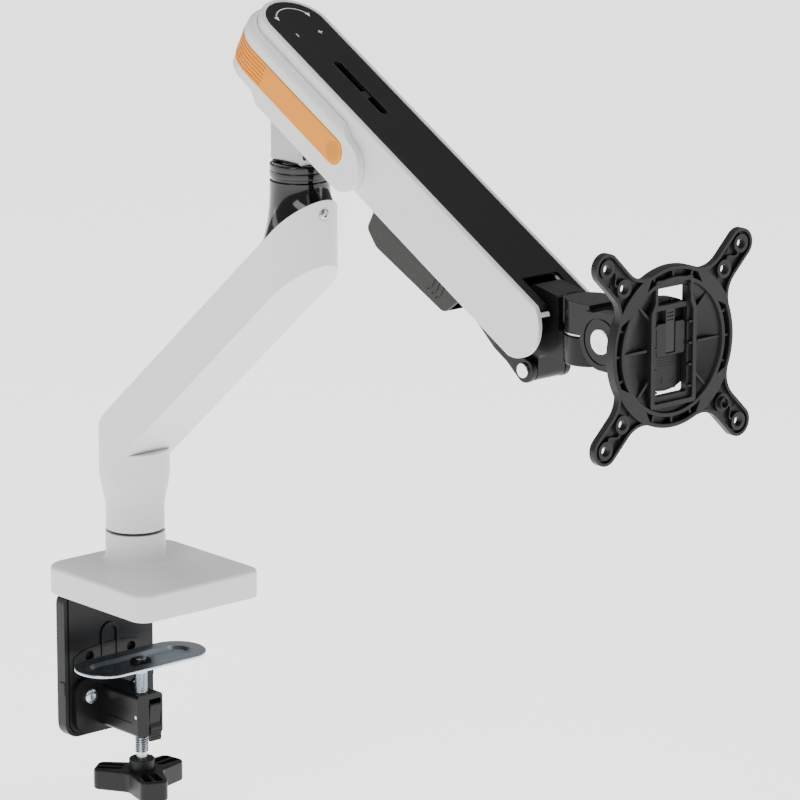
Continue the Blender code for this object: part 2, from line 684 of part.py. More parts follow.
def build_lower_arm():
    normal = Vector((-math.sin(LOWER_SLOPE), 0, math.cos(LOWER_SLOPE)))
    top_point = Vector((0, 0, LOWER_TOP_AT_COLUMN))
    low_point = top_point - normal * LOWER_DEPTH
    hub_low = COLLAR_TOP + GAP + SEAM_RING + GAP
    flare_top = hub_low + HUB_FLARE

    # Inclined body: an obround footprint cut by two parallel planes, its lower edges rounded
    bm = bmesh.new()
    face = bm.faces.new([bm.verts.new((x, y, flare_top)) for x, y in stadium(0, ELBOW_X, ARM_R, 14)])
    moved = bmesh.ops.extrude_face_region(bm, geom=[face])["geom"]
    bmesh.ops.translate(bm, vec=(0, 0, 260), verts=[v for v in moved if isinstance(v, bmesh.types.BMVert)])
    for point, direction in ((top_point, normal), (low_point, -normal)):
        cutting = bmesh.ops.bisect_plane(
            bm, geom=bm.verts[:] + bm.edges[:] + bm.faces[:], plane_co=point, plane_no=direction, clear_outer=True
        )
        rim = [e for e in cutting["geom_cut"] if isinstance(e, bmesh.types.BMEdge)]
        bmesh.ops.holes_fill(bm, edges=rim, sides=0)
    bottom = [
        e for e in bm.edges
        if all(abs((v.co - low_point).dot(normal)) < 0.01 for v in e.verts)
        and max(v.co.x for v in e.verts) > ARM_R
    ]
    bmesh.ops.bevel(bm, geom=bottom, offset=LOWER_EDGE, segments=3, profile=0.5,
                    affect="EDGES", clamp_overlap=True, material=-1)
    arm = make_object("lower_arm", bm, "white_paint")

    flare = []
    for i in range(7):
        t = i / 6
        height = hub_low + HUB_STRAIGHT + (HUB_FLARE - HUB_STRAIGHT) * t
        flare.append((HUB_R + (ARM_R - 0.15 - HUB_R) * (3 * t * t - 2 * t ** 3), height))
    join(arm, turned("column_core", [
        (0, hub_low), (HUB_R - 0.4, hub_low), (HUB_R, hub_low + 0.4), *flare,
        (ARM_R - 0.15, flare_top + 12), (0, flare_top + 12),
    ], steps=28))

    bore = SPINDLE_R + GAP + BUSH_WALL + GAP
    cut(
        arm,
        rod("column_bore", bore, hub_low - 1, SPINDLE_TOP + 8, steps=24),
        rod("elbow_bore", bore, ELBOW_FLOOR, ELBOW_FLOOR + 70, (ELBOW_X, 0, 0), steps=24),
    )
    start = 12.0
    end = (ELBOW_X - ARM_R - 7) / math.cos(LOWER_SLOPE)
    seat = box_outline(start - GAP, end + GAP, -CABLE_COVER_HALF - GAP, CABLE_COVER_HALF + GAP, 3, 3)
    channel = box_outline(start + 22, end - 16, -CHANNEL_HALF, CHANNEL_HALF, 4, 3)
    cut(
        arm,
        in_slope(prism("cable_cover_seat", seat, -CABLE_COVER_THICK - GAP, THROUGH)),
        in_slope(prism("cable_channel", channel, -CHANNEL_DEPTH, THROUGH)),
        rod("elbow_screw_hole", 2.0, -14, 8, (ELBOW_X + ARM_R - 2, 0, ELBOW_SCREW_Z), "X", steps=12),
    )
    cover = in_slope(prism(
        "cable_cover", box_outline(start, end, -CABLE_COVER_HALF, CABLE_COVER_HALF, 3, 3),
        -CABLE_COVER_THICK, -0.1, "Z", "white_paint",
    ))

    bush_low = hub_low + 0.2
    tube("base_bush", SPINDLE_R + GAP, bore - GAP, bush_low, SPINDLE_TOP - 1.0, material="bush_plastic")
    tube("elbow_bush", SPINDLE_R + GAP, bore - GAP, ELBOW_FLOOR + 4, ELBOW_FLOOR + 38,
         (ELBOW_X, 0, 0), material="bush_plastic")

    elbow_cover = build_elbow_cover()
    screw = socket_screw("elbow_cover_screw", 3.3, 1.5, 1.6, 5.2,
                         (ELBOW_X + ARM_R + 0.2, 0, ELBOW_SCREW_Z), "X", "zinc")
    joint = empty("base_swivel_axis", (0, 0, hub_low))
    hang(joint, arm, cover, bpy.data.objects["base_bush"], bpy.data.objects["elbow_bush"], elbow_cover, screw)


def build_elbow_cover():
    """Flared shroud that grows out of the lower arm's slanted rim into a round neck."""
    steps = 32
    levels = 6
    bm = bmesh.new()
    rings = []
    for level in range(levels + 1):
        t = level / levels
        ring = []
        for i in range(steps):
            angle = 2 * math.pi * i / steps
            rear = max(0.0, -math.cos(angle))
            foot_r = ARM_R - 1.2 + 5.0 * rear ** 1.5
            bend = (1 - t) ** 2.6
            r = COVER_R + (foot_r - COVER_R) * bend
            x = ELBOW_X + r * math.cos(angle)
            foot_z = upper_plane_z(ELBOW_X + foot_r * math.cos(angle)) + GAP
            z = foot_z + (COVER_TOP - foot_z) * t
            ring.append(bm.verts.new((x, r * math.sin(angle), z)))
        rings.append(ring)
    for lower, upper in zip(rings, rings[1:]):
        edges = []
        for ring in (lower, upper):
            for a, b in zip(ring, ring[1:] + ring[:1]):
                edges.append(bm.edges.get((a, b)) or bm.edges.new((a, b)))
        bmesh.ops.bridge_loops(bm, edges=edges)
    bm.faces.new(rings[0][::-1])
    bm.faces.new(rings[-1])
    cover = make_object("elbow_cover", bm, "black_gloss")
    cut(cover, rod("elbow_cover_bore", SPINDLE_R + 3.4, ELBOW_FLOOR - 30, COVER_TOP + THROUGH,
                   (ELBOW_X, 0, 0), steps=24))
    return cover


# ---------------------------------------------------------------- elbow turntable and yoke

def build_yoke():
    collar_low = COVER_TOP + GAP
    collar_high = collar_low + COLLAR_THICK
    centre = (ELBOW_X, 0, 0)
    collar = turned("elbow_collar", [
        (SPINDLE_R + GAP, collar_low), (COVER_R - 0.9, collar_low), (COVER_R - 0.9, collar_low + 1.4),
        (COVER_R, collar_low + 2.0), (COVER_R, collar_high - 0.8), (COVER_R - 0.8, collar_high),
        (SPINDLE_R + GAP, collar_high),
    ], centre, material="black_gloss", steps=28, ring=True)
    bolt_r = 3.2
    spindle = rod("elbow_spindle", SPINDLE_R, ELBOW_FLOOR + 2, collar_high, centre,
                  material="brushed_steel", steps=24, bevel=0.6)
    cut(spindle, rod("elbow_spindle_tap", bolt_r + GAP, collar_high - 18, collar_high + 1, centre, steps=12))

    base_low = collar_high + GAP
    base_high = base_low + CHEEK_THICK
    neck = 11.0
    cheek = [
        (ELBOW_X - YOKE_HALF_LENGTH, base_low), (ELBOW_X + YOKE_HALF_LENGTH, base_low),
        (ELBOW_X + YOKE_HALF_LENGTH, PIVOT_Z - 8), *arc(ELBOW_X, PIVOT_Z, neck, 0, 180, 12),
        (ELBOW_X - YOKE_HALF_LENGTH, PIVOT_Z - 8),
    ]
    yoke = prism("yoke", cheek, -YOKE_HALF_WIDTH, YOKE_HALF_WIDTH, "Y", "brushed_steel")
    inner = YOKE_HALF_WIDTH - CHEEK_THICK
    opening = box_outline(ELBOW_X - 30, ELBOW_X + 30, base_high, PIVOT_Z + 30)
    link_z = PIVOT_Z - LINK_DROP
    cut(
        yoke,
        prism("yoke_opening", opening, -inner, inner, "Y"),
        rod("yoke_pivot_bore", PIN_R + GAP, -30, 30, (ELBOW_X, 0, PIVOT_Z), "Y", steps=16),
        rod("yoke_link_bore", LINK_PIN_R + GAP, -30, 30, (ELBOW_X, 0, link_z), "Y", steps=12),
        rod("yoke_bolt_hole", bolt_r + GAP, base_low - 1, base_high + 1, centre, steps=12),
        rod("yoke_anchor_bore", ANCHOR_R + GAP, -30, 30, (ELBOW_X, 0, PIVOT_Z - ANCHOR_DROP), "Y", steps=12),
    )
    anchor_half = YOKE_HALF_WIDTH + 0.2
    anchor = rod("spring_anchor_pin", ANCHOR_R, -anchor_half, anchor_half,
                 (ELBOW_X, 0, PIVOT_Z - ANCHOR_DROP), "Y", "zinc", 16)
    bolt = socket_screw("yoke_bolt", 5.8, 4.2, bolt_r, 16, (ELBOW_X, 0, base_high + GAP), "Z", "zinc")
    pivot_half = FRAME_HALF - FRAME_WALL - GAP
    pivot = rod("pivot_pin", PIN_R, -FRAME_HALF + 0.2, FRAME_HALF - 0.2,
                (ELBOW_X, 0, PIVOT_Z), "Y", "zinc", 16, 0.4)
    link_pin = rod("link_rear_pin", LINK_PIN_R, -YOKE_HALF_WIDTH - 0.2, YOKE_HALF_WIDTH + 0.2,
                   (ELBOW_X, 0, link_z), "Y", "zinc", 14, 0.3)
    # Nylon spacers keep the beam and the link centred on the yoke
    spacers = []
    for side in (-1, 1):
        label = "near" if side < 0 else "far"
        low, high = sorted((side * (YOKE_HALF_WIDTH + GAP), side * pivot_half))
        spacers.append(tube(f"pivot_spacer_{label}", PIN_R + GAP, 8.0, low, high,
                            (ELBOW_X, 0, PIVOT_Z), "Y", "bush_plastic", 16))
    joint = empty("elbow_swivel_axis", (ELBOW_X, 0, collar_low))
    hang(joint, collar, spindle, yoke, bolt, pivot, anchor, link_pin, *spacers)


# ---------------------------------------------------------------- upper arm

def build_upper_arm():
    """Everything that rides on the beam, in the beam's own frame."""
    joint = empty("lift_axis", (ELBOW_X, 0, PIVOT_Z), ARM_PITCH)
    end = ARM_LENGTH

    # Load-carrying channel with the two pivots in its cheeks
    side_view = [
        *arc(end, 0, FRAME_END_R, -90, 0, 8), (end + FRAME_END_R, FRAME_TOP), (-FRAME_END_R, FRAME_TOP),
        *arc(0, 0, FRAME_END_R, 180, 270, 8),
    ]
    frame = prism("beam_frame", side_view, -FRAME_HALF, FRAME_HALF, "Y", "black_paint")
    inner = FRAME_HALF - FRAME_WALL
    web = FRAME_TOP - FRAME_WEB
    hollow = box_outline(-30, end + 30, -40, web)
    notch = box_outline(end - NOTCH_LENGTH, end + 30, -NOTCH_HALF, NOTCH_HALF)
    cut(
        frame,
        prism("frame_hollow", hollow, -inner, inner, "Y"),
        prism("frame_notch", notch, 0, 30, "Z"),
        rod("frame_rear_bore", PIN_R + GAP, -30, 30, (0, 0, 0), "Y", steps=16),
        rod("frame_front_bore", PIN_R + GAP, -30, 30, (end, 0, 0), "Y", steps=16),
        prism("frame_gauge_slot", box_outline(GAUGE_START, GAUGE_END, -GAUGE_HALF, GAUGE_HALF),
              web - 2, FRAME_TOP + 2, "Z"),
    )
    # Two bulkheads inside the channel hold the spring's cylinder
    for x in (CYLINDER_START + 4, CYLINDER_END + GAP):
        bulkhead = box_outline(x, x + 3, -14.0, FRAME_TOP - 1)
        join(frame, prism(f"bulkhead_{x:.0f}", bulkhead, -inner - 1, inner + 1, "Y"))
    spring_line = (0, 0, SPRING_LINE)
    cut(
        frame,
        rod("bulkhead_cylinder_hole", SPRING_R + GAP, CYLINDER_START, CYLINDER_START + 12, spring_line, "X"),
        rod("bulkhead_rod_hole", ROD_R + RUN, CYLINDER_END - 2, CYLINDER_END + 6, spring_line, "X"),
    )

    # White shell: an obround in plan with round front ends in side view
    shell_top = ARM_TOP
    plan = [
        (end + 30, -ARM_HALF), (end + 30, ARM_HALF), *arc(REAR_CENTRE, 0, ARM_HALF, 90, 270, 18),
    ]
    shell = prism("arm_shell", plan, ARM_BOTTOM, shell_top, "Z", "white_paint", bevel=1.0)
    keep = [
        *arc(end, 0, ARM_END_R, -82, 62, 12), (end - 30, shell_top + 20), (-80, shell_top + 20),
        (-80, -60), (end - 30, -60),
    ]
    wall_inner = ARM_HALF - ARM_WALL
    inner_plan = [
        (end + 60, -wall_inner), (end + 60, wall_inner), *arc(REAR_CENTRE, 0, wall_inner, 90, 270, 18),
    ]
    seat_plan = [
        (end + 60, -TOP_HALF - GAP), (end + 60, TOP_HALF + GAP), *arc(REAR_CENTRE, 0, TOP_HALF + GAP, 90, 270, 18),
    ]
    trim = prism("shell_side_view", keep, -60, 60, "Y")
    combine(shell, [trim], "INTERSECT")
    cut(
        shell,
        prism("shell_hollow", inner_plan, ARM_BOTTOM - THROUGH, shell_top + THROUGH, "Z"),
    )
    # A ledge under the top cover carries it along both sides
    ledge_plan = [
        (end - 6, -wall_inner - 1), (end - 6, wall_inner + 1),
        *arc(REAR_CENTRE, 0, wall_inner + 1, 90, 270, 18),
    ]
    ledge_low = FRAME_TOP + GAP
    ledge_high = shell_top - TOP_COVER_THICK - GAP
    ledge = prism("shell_ledge", ledge_plan, ledge_low, ledge_high, "Z")
    join(shell, ledge)
    ledge_hole = [
        (end + 60, -TOP_HALF + 6), (end + 60, TOP_HALF - 6), *arc(REAR_CENTRE, 0, TOP_HALF - 6, 90, 270, 18),
    ]
    cut(
        shell,
        prism("ledge_opening", ledge_hole, ledge_low - 2, ledge_high + 0.05, "Z"),
        prism("cover_seat", seat_plan, ledge_high, shell_top + THROUGH, "Z"),
        prism("shell_notch", notch, -THROUGH, shell_top + THROUGH, "Z"),
        rod("shell_pin_near", 6.0, -ARM_HALF - 1, ARM_HALF + 1, (0, 0, 0), "Y", steps=16),
    )

    # Black top cover with the gauge slot and the notch for the head bracket
    cover_plan = [
        (end + 4, -TOP_HALF), (end + 4, TOP_HALF), *arc(REAR_CENTRE, 0, TOP_HALF, 90, 270, 18),
    ]
    cover = prism("top_cover", cover_plan, shell_top - TOP_COVER_THICK, shell_top, "Z", "black_cover", bevel=0.5)
    cut(
        cover,
        prism("cover_notch", notch, 0, 40, "Z"),
        prism("cover_gauge_slot", stadium(GAUGE_START + GAUGE_HALF, GAUGE_END - GAUGE_HALF, GAUGE_HALF, 8), 0, 40),
    )

    housing, band = build_housing()
    cylinder = build_cylinder()
    build_spring_drive()
    front = rod("head_pivot_pin", PIN_R, -FRAME_HALF + 0.2, FRAME_HALF - 0.2, (end, 0, 0), "Y", "zinc", 16, 0.4)
    hang_local(joint, frame, shell, cover, housing, band, front, cylinder)
    return joint


def u_plan(half, front):
    """A U in plan: round about the rear centre, straight to the front."""
    return [(front, -half), (front, half), *arc(REAR_CENTRE, 0, half, 90, 270, 20)]


def build_housing():
    """White pivot housing round the rear of the arm, and the orange band let into it."""
    long_front = HOUSING_END + 60
    housing = prism("rear_housing", u_plan(HOUSING_HALF, long_front), HOUSING_BOTTOM, HOUSING_SHOULDER,
                    "Z", "white_paint")
    shoulder = HOUSING_SHOULDER - HOUSING_TOP
    bevel = housing.modifiers.new("shoulder", "BEVEL")
    bevel.limit_method = "ANGLE"
    bevel.angle_limit = math.radians(60)
    bevel.width = min(shoulder, HOUSING_HALF - ARM_HALF - 1.0) * MM
    bevel.segments = 2
    radius = (HOUSING_TOP - HOUSING_BOTTOM) / 2
    middle = (HOUSING_TOP + HOUSING_BOTTOM) / 2
    side_view = [
        *arc(HOUSING_END - radius, middle, radius, -90, 90, 14),
        (HOUSING_END - radius - 14, HOUSING_SHOULDER), (-80, HOUSING_SHOULDER + 10), (-80, HOUSING_REAR_BOTTOM),
        (-2.0, HOUSING_REAR_BOTTOM), (6.0, HOUSING_BOTTOM),
    ]
    keep = prism("housing_side_view", side_view, -60, 60, "Y")
    combine(housing, [keep], "INTERSECT")
    cut(
        housing,
        prism("housing_inside", u_plan(ARM_HALF + GAP, long_front + 40), -60, 60, "Z"),
    )
    band_half = (BAND_TOP - BAND_BOTTOM) / 2
    band_middle = (BAND_TOP + BAND_BOTTOM) / 2

    def band_side(grow):
        r = band_half + grow
        return [
            *arc(BAND_END - band_half, band_middle, r, -90, 90, 12),
            (-90, band_middle + r), (-90, band_middle - r),
        ]

    bottom_r = HOUSING_HALF - BAND_DEPTH
    groove = prism("band_groove", u_plan(HOUSING_HALF + THROUGH, long_front), -60, 60, "Z")
    combine(groove, [prism("groove_side_view", band_side(GAP), -60, 60, "Y")], "INTERSECT")
    cut(groove, prism("groove_floor", u_plan(bottom_r, long_front + 40), -70, 70, "Z"))
    cut(housing, groove)
    band = prism("orange_band", u_plan(HOUSING_HALF + BAND_PROUD, long_front), -60, 60, "Z", "orange_plastic")
    combine(band, [prism("band_side_view", band_side(0.0), -60, 60, "Y")], "INTERSECT")
    cut(band, prism("band_inside", u_plan(bottom_r + GAP, long_front + 40), -70, 70, "Z"))
    return housing, band


def build_cylinder():
    """Gas spring cylinder, open at the rear for the plunger, with a passage for the rod."""
    return turned("gas_spring", [
        (CYLINDER_BORE, CYLINDER_START), (SPRING_R - 0.8, CYLINDER_START), (SPRING_R, CYLINDER_START + 0.8),
        (SPRING_R, CYLINDER_END - 0.8), (SPRING_R - 0.8, CYLINDER_END), (ROD_R + RUN, CYLINDER_END),
        (ROD_R + RUN, CYLINDER_END - 12), (CYLINDER_BORE, CYLINDER_END - 14),
    ], (0, 0, SPRING_LINE), "X", "black_gloss", 18, ring=True)


def build_spring_drive():
    """Crosshead on the yoke's anchor pin, the threaded rod in it, and the nut with the gauge pointer."""
    axis = Vector((math.sin(ARM_PITCH), 0, math.cos(ARM_PITCH))) * SPRING_LINE
    start = (ELBOW_X + axis.x, 0, PIVOT_Z + axis.z)
    pin_x = ANCHOR_DROP * math.sin(ARM_PITCH)
    half = YOKE_HALF_WIDTH - CHEEK_THICK - 0.9
    top = -PIN_R - 0.5 - SPRING_LINE
    bottom = -ANCHOR_DROP - ANCHOR_R - 3.0 - SPRING_LINE
    head_front = pin_x + 7.0
    crosshead = prism("spring_crosshead", box_outline(pin_x - 5, head_front, bottom, top, 0.8, 2),
                      -half, half, "Y", "zinc")
    slot_half = ANCHOR_R + 0.7
    rod_start = pin_x + slot_half + 1.2
    cut(
        crosshead,
        prism("crosshead_slot", box_outline(pin_x - slot_half, pin_x + slot_half, bottom + 2.2, top + THROUGH),
              -half - 1, half + 1, "Y"),
        rod("crosshead_journal", ROD_R + GAP, rod_start - GAP, head_front + 1, (0, 0, 0), "X", steps=12),
    )
    screw = rod("tension_rod", ROD_R, rod_start, ROD_END, (0, 0, 0), "X", "zinc", 14)
    cut(screw, rod("tension_socket", 1.4, ROD_END - 3, ROD_END + 1, (0, 0, 0), "X", steps=6))
    nut_half = 6.0
    nut = prism("tension_nut", box_outline(NUT_CENTRE - nut_half, NUT_CENTRE + nut_half, -5, 6.5, 0.6, 2),
                -9, 9, "Y", "black_nylon")
    pointer_top = ARM_TOP - 0.8 - SPRING_LINE
    finger = box_outline(NUT_CENTRE - POINTER_HALF, NUT_CENTRE + POINTER_HALF, 5, pointer_top)
    join(
        nut,
        prism("pointer_core", finger, -GAUGE_HALF + 0.4, GAUGE_HALF - 0.4, "Y"),
        rod("plunger_core", PLUNGER_R, NUT_CENTRE, CYLINDER_START + 26, (0, 0, 0), "X", steps=16),
    )
    cut(nut, rod("nut_bore", ROD_R + GAP, 0, CYLINDER_END, (0, 0, 0), "X", steps=12))
    hang_local(empty("spring_slide_axis", start, ARM_PITCH), crosshead)
    hang_local(empty("tension_rod_axis", start, ARM_PITCH), screw)
    hang_local(empty("tension_nut_axis", start, ARM_PITCH), nut)


# ---------------------------------------------------------------- lower link and head

def build_cable_clip():
    """Channel snapped round the lower link, with room for cables under it, in the link's frame."""
    across = LINK_DROP * math.cos(ARM_PITCH)
    along = LINK_DROP * math.sin(ARM_PITCH)
    start = CLIP_START - along
    end = CLIP_END - along
    rim = CLIP_RIM + across
    deep = CLIP_DEEP + across
    shallow = CLIP_SHALLOW + across
    inner = LINK_REAR_HALF + GAP
    clip = prism("cable_clip", rounded([
        (start, rim, 2), (start, deep + 5, 4), (start + 12, deep, 8), (end - 8, shallow, 6), (end, rim - 4, 3),
        (end - 3, rim, 1),
    ], 4), -inner - CLIP_WALL, inner + CLIP_WALL, "Y", "grey_plastic")
    cut(clip, prism("clip_hollow", [
        (start - THROUGH, deep + 5), (start + 12, deep + CLIP_WALL), (end - 8, shallow + CLIP_WALL),
        (end + THROUGH, shallow + 5), (end + THROUGH, rim + THROUGH), (start - THROUGH, rim + THROUGH),
    ], -inner, inner, "Y"))
    return clip


def build_link():
    joint = empty("link_axis", (ELBOW_X, 0, PIVOT_Z - LINK_DROP), ARM_PITCH)
    end = ARM_LENGTH
    side_view = [
        *arc(end, 0, LINK_FRONT_EYE_R, -100, 80, 10), (end - 14, LINK_DEPTH), (14, LINK_DEPTH),
        *arc(0, 0, LINK_EYE_R, 80, 280, 12), (14, -LINK_DEPTH), (end - 14, -LINK_DEPTH - 1),
    ]
    taper = end - LINK_TAPER_START
    wide = end - LINK_TAPER_END
    plan = [
        (-20, -LINK_REAR_HALF), (taper, -LINK_REAR_HALF), (wide, -LINK_HALF), (end + 20, -LINK_HALF),
        (end + 20, LINK_HALF), (wide, LINK_HALF), (taper, LINK_REAR_HALF), (-20, LINK_REAR_HALF),
    ]
    link = prism("lower_link", side_view, -LINK_HALF - 1, LINK_HALF + 1, "Y", "black_paint")
    combine(link, [prism("link_plan", plan, -20, 20)], "INTERSECT")
    inner = LINK_REAR_HALF - LINK_PLATE
    cut(
        link,
        prism("link_channel", box_outline(14, taper, -LINK_DEPTH + 2.0, 30), -inner, inner, "Y"),
        prism("link_rear_slot", box_outline(-30, 12, -30, 30), -inner, inner, "Y"),
        prism("link_front_slot", box_outline(end - 22, end + 30, -30, 30), -LINK_FORK_HALF, LINK_FORK_HALF, "Y"),
        rod("link_rear_eye", LINK_PIN_R + GAP, -30, 30, (0, 0, 0), "Y", steps=12),
        rod("link_front_eye", LINK_PIN_R + LINK_OPEN, -30, 30, (end, 0, 0), "Y", steps=14),
    )
    hang_local(joint, link, build_cable_clip())


def build_head():
    """Head bracket between the front pivots and the pan joint."""
    pivot = Vector((ELBOW_X + ARM_LENGTH * math.cos(ARM_PITCH), PIVOT_Z - ARM_LENGTH * math.sin(ARM_PITCH)))
    link = Vector((pivot.x, pivot.y - LINK_DROP))
    eye = 10.0
    outline = rounded([
        (pivot.x - eye, pivot.y - 8, 5), (link.x - 6.4, link.y + 3, 4), (link.x - 6.4, link.y - 6.4, 5),
        (link.x + 6.4, link.y - 6.4, 5), (link.x + 7.5, LUG_BOTTOM, 3), (HEAD_FRONT + 4, LUG_BOTTOM, 0),
        (HEAD_FRONT + 4, LUG_TOP, 0), (HEAD_FRONT, LUG_TOP, 0), (HEAD_FRONT, HEAD_TOP - 3.4, 1.0),
        (pivot.x + 2, HEAD_TOP, 3), (pivot.x - eye, pivot.y + 8, 6),
    ], 4)
    head = prism("head_bracket", outline, -HEAD_HALF, HEAD_HALF, "Y", "black_paint", bevel=0.8)
    join(
        head,
        rod("head_knuckle_core", eye, -FRAME_HALF + FRAME_WALL + GAP, FRAME_HALF - FRAME_WALL - GAP,
            (pivot.x, 0, pivot.y), "Y", steps=20),
        rod("lug_core", LUG_R, LUG_BOTTOM - 0.4, LUG_TOP - 0.2, (PAN_X, 0, 0), steps=24, bevel=1.0),
    )
    cut(
        head,
        rod("head_pin_bore", PIN_R + GAP, -40, 40, (pivot.x, 0, pivot.y), "Y", steps=16),
        rod("head_link_bore", LINK_PIN_R + GAP, -40, 40, (link.x, 0, link.y), "Y", steps=12),
        rod("lug_bore", PAN_PIN_R + GAP, LUG_BOTTOM - 5, LUG_TOP + 5, (PAN_X, 0, 0), steps=16),
        rod("block_room", BLOCK_HALF + 2.0, LUG_TOP, HEAD_TOP + 9, (PAN_X, 0, 0), steps=24),
    )
    cap_low = LINK_HALF + GAP
    cap_high = cap_low + 1.4
    cap_r = 4.3
    link_pin = turned("link_front_pin", [
        (0, -cap_high), (cap_r - 0.3, -cap_high), (cap_r, -cap_high + 0.3), (cap_r, -cap_low),
        (LINK_PIN_R, -cap_low), (LINK_PIN_R, cap_low), (cap_r, cap_low), (cap_r, cap_high - 0.3),
        (cap_r - 0.3, cap_high), (0, cap_high),
    ], (link.x, 0, link.y), "Y", "zinc", 16)
    joint = empty("head_level_axis", (pivot.x, 0, pivot.y))
    washer = tube("pan_washer", PAN_PIN_R + GAP, LUG_R - 0.3, LUG_TOP, LUG_TOP + WASHER_THICK,
                  (PAN_X, 0, 0), material="zinc", steps=24)
    hang(joint, head, link_pin, washer)


def build_swivel():
    low = LUG_TOP + WASHER_THICK + GAP
    tongue_half = FORK_HALF - FORK_CHEEK - RUN
    rear = arc(PAN_X, 0, BLOCK_HALF, 90, 270, 14)
    plan = [(TILT_X - FORK_R - 1.5, -BLOCK_HALF), (TILT_X - FORK_R - 1.5, BLOCK_HALF), *rear]
    block = prism("swivel_block", plan, low, BLOCK_TOP, "Z", "black_paint", bevel=0.8)
    neck = [
        (TILT_X - FORK_R - 4, TILT_Z - 9.5), (TILT_X, TILT_Z - TONGUE_R),
        *arc(TILT_X, TILT_Z, TONGUE_R, -90, 90, 12), (TILT_X - FORK_R - 4, BLOCK_TOP - 3),
    ]
    join(block, prism("tongue_core", neck, -tongue_half, tongue_half, "Y"))
    cut(
        block,
        rod("block_pan_bore", PAN_PIN_R + GAP, low - 1, BLOCK_TOP - 5, (PAN_X, 0, 0), steps=16),
        rod("block_tilt_bore", TILT_PIN_R + GAP, -30, 30, (TILT_X, 0, TILT_Z), "Y", steps=16),
        rod("lug_room", LUG_R + 0.8, LUG_BOTTOM - 10, low - 0.05, (PAN_X, 0, 0), steps=24),
    )
    pin = rod("pan_pin", PAN_PIN_R, LUG_BOTTOM - 0.4, BLOCK_TOP - 5 - GAP, (PAN_X, 0, 0),
              material="zinc", steps=16, bevel=0.5)
    joint = empty("pan_axis", (PAN_X, 0, low))
    hang(joint, block, pin)


def build_fork():
    """Tilting fork with its bolt, washers and caps."""
    back = PLATE_FACE - PLATE_THICK - 7.4
    inner = FORK_HALF - FORK_CHEEK
    outline = [
        *arc(TILT_X, TILT_Z, FORK_R, 90, 270, 20), (back - 4, TILT_Z - FORK_R), (back, TILT_Z - FORK_R - 3),
        (back, TILT_Z + FORK_R + 3), (back - 4, TILT_Z + FORK_R),
    ]
    fork = prism("tilt_fork", outline, -FORK_HALF, FORK_HALF, "Y", "black_paint", bevel=0.8)
    room = TONGUE_R + 1.2
    pin_low = -FORK_HALF + 2.4
    counterbore = CAP_R + GAP
    cut(
        fork,
        prism("fork_slot", box_outline(TILT_X - 40, TILT_X + room, TILT_Z - 40, TILT_Z + 40),
              -inner, inner, "Y"),
        rod("fork_bore", TILT_PIN_R + GAP, -40, 40, (TILT_X, 0, TILT_Z), "Y", steps=16),
        rod("fork_counterbore_near", counterbore, -FORK_HALF - 2, pin_low - 0.1, (TILT_X, 0, TILT_Z), "Y", steps=20),
        rod("fork_counterbore_far", counterbore, -pin_low + 0.1, FORK_HALF + 2, (TILT_X, 0, TILT_Z), "Y", steps=20),
        rod("fork_rotor_bore", 6.0, TILT_X + room - 2, back + 2, (0, 0, TILT_Z), "X", steps=16),
    )
    bolt = rod("tilt_bolt", TILT_PIN_R, pin_low, -pin_low, (TILT_X, 0, TILT_Z), "Y", "zinc", 16, 0.4)
    caps = []
    for side in (-1, 1):
        label = "near" if side < 0 else "far"
        low, high = sorted((side * (-pin_low + GAP), side * (FORK_HALF + 0.6)))
        caps.append(rod(f"tilt_cap_{label}", CAP_R, low, high, (TILT_X, 0, TILT_Z), "Y", "zinc", 24, 0.4))
    joint = empty("tilt_axis", (TILT_X, 0, TILT_Z))
    hang(joint, fork, bolt, *caps)
    return back


def build_carrier(back):
    """Rotor that turns in the fork and carries the monitor plate on its rails."""
    disc_low = back + RUN
    disc_high = PLATE_FACE - PLATE_THICK - RUN
    carrier = turned("plate_carrier", [
        (0, TILT_X + TONGUE_R + 1.6), (5.6, TILT_X + TONGUE_R + 1.6), (5.6, disc_low), (26, disc_low),
        (26, disc_high), (0, disc_high),
    ], (0, 0, TILT_Z), "X", "black_nylon", 28)
    rail = box_outline(-WINDOW_HALF + 6.5, WINDOW_HALF - 6.5, TILT_Z - 5, TILT_Z + 13, 1.5, 3)
    join(carrier, prism("carrier_rail", rail, disc_high - 1, CARRIER_FACE, "X"))
    latch_slot = box_outline(-3.6, 3.6, TILT_Z - 4, TILT_Z + 25)
    cut(carrier, prism("carrier_latch_slot", latch_slot, disc_high - 0.9, CARRIER_FACE + 1, "X"))
    latch = prism("plate_latch", box_outline(-3.2, 3.2, TILT_Z - 3.6, TILT_Z + 22, 0.8, 2),
                  disc_high - 0.9 + GAP, CARRIER_FACE - 0.4, "X", "grey_plastic")
    joint = empty("rotation_axis", (back, 0, TILT_Z))
    hang(joint, carrier, latch)


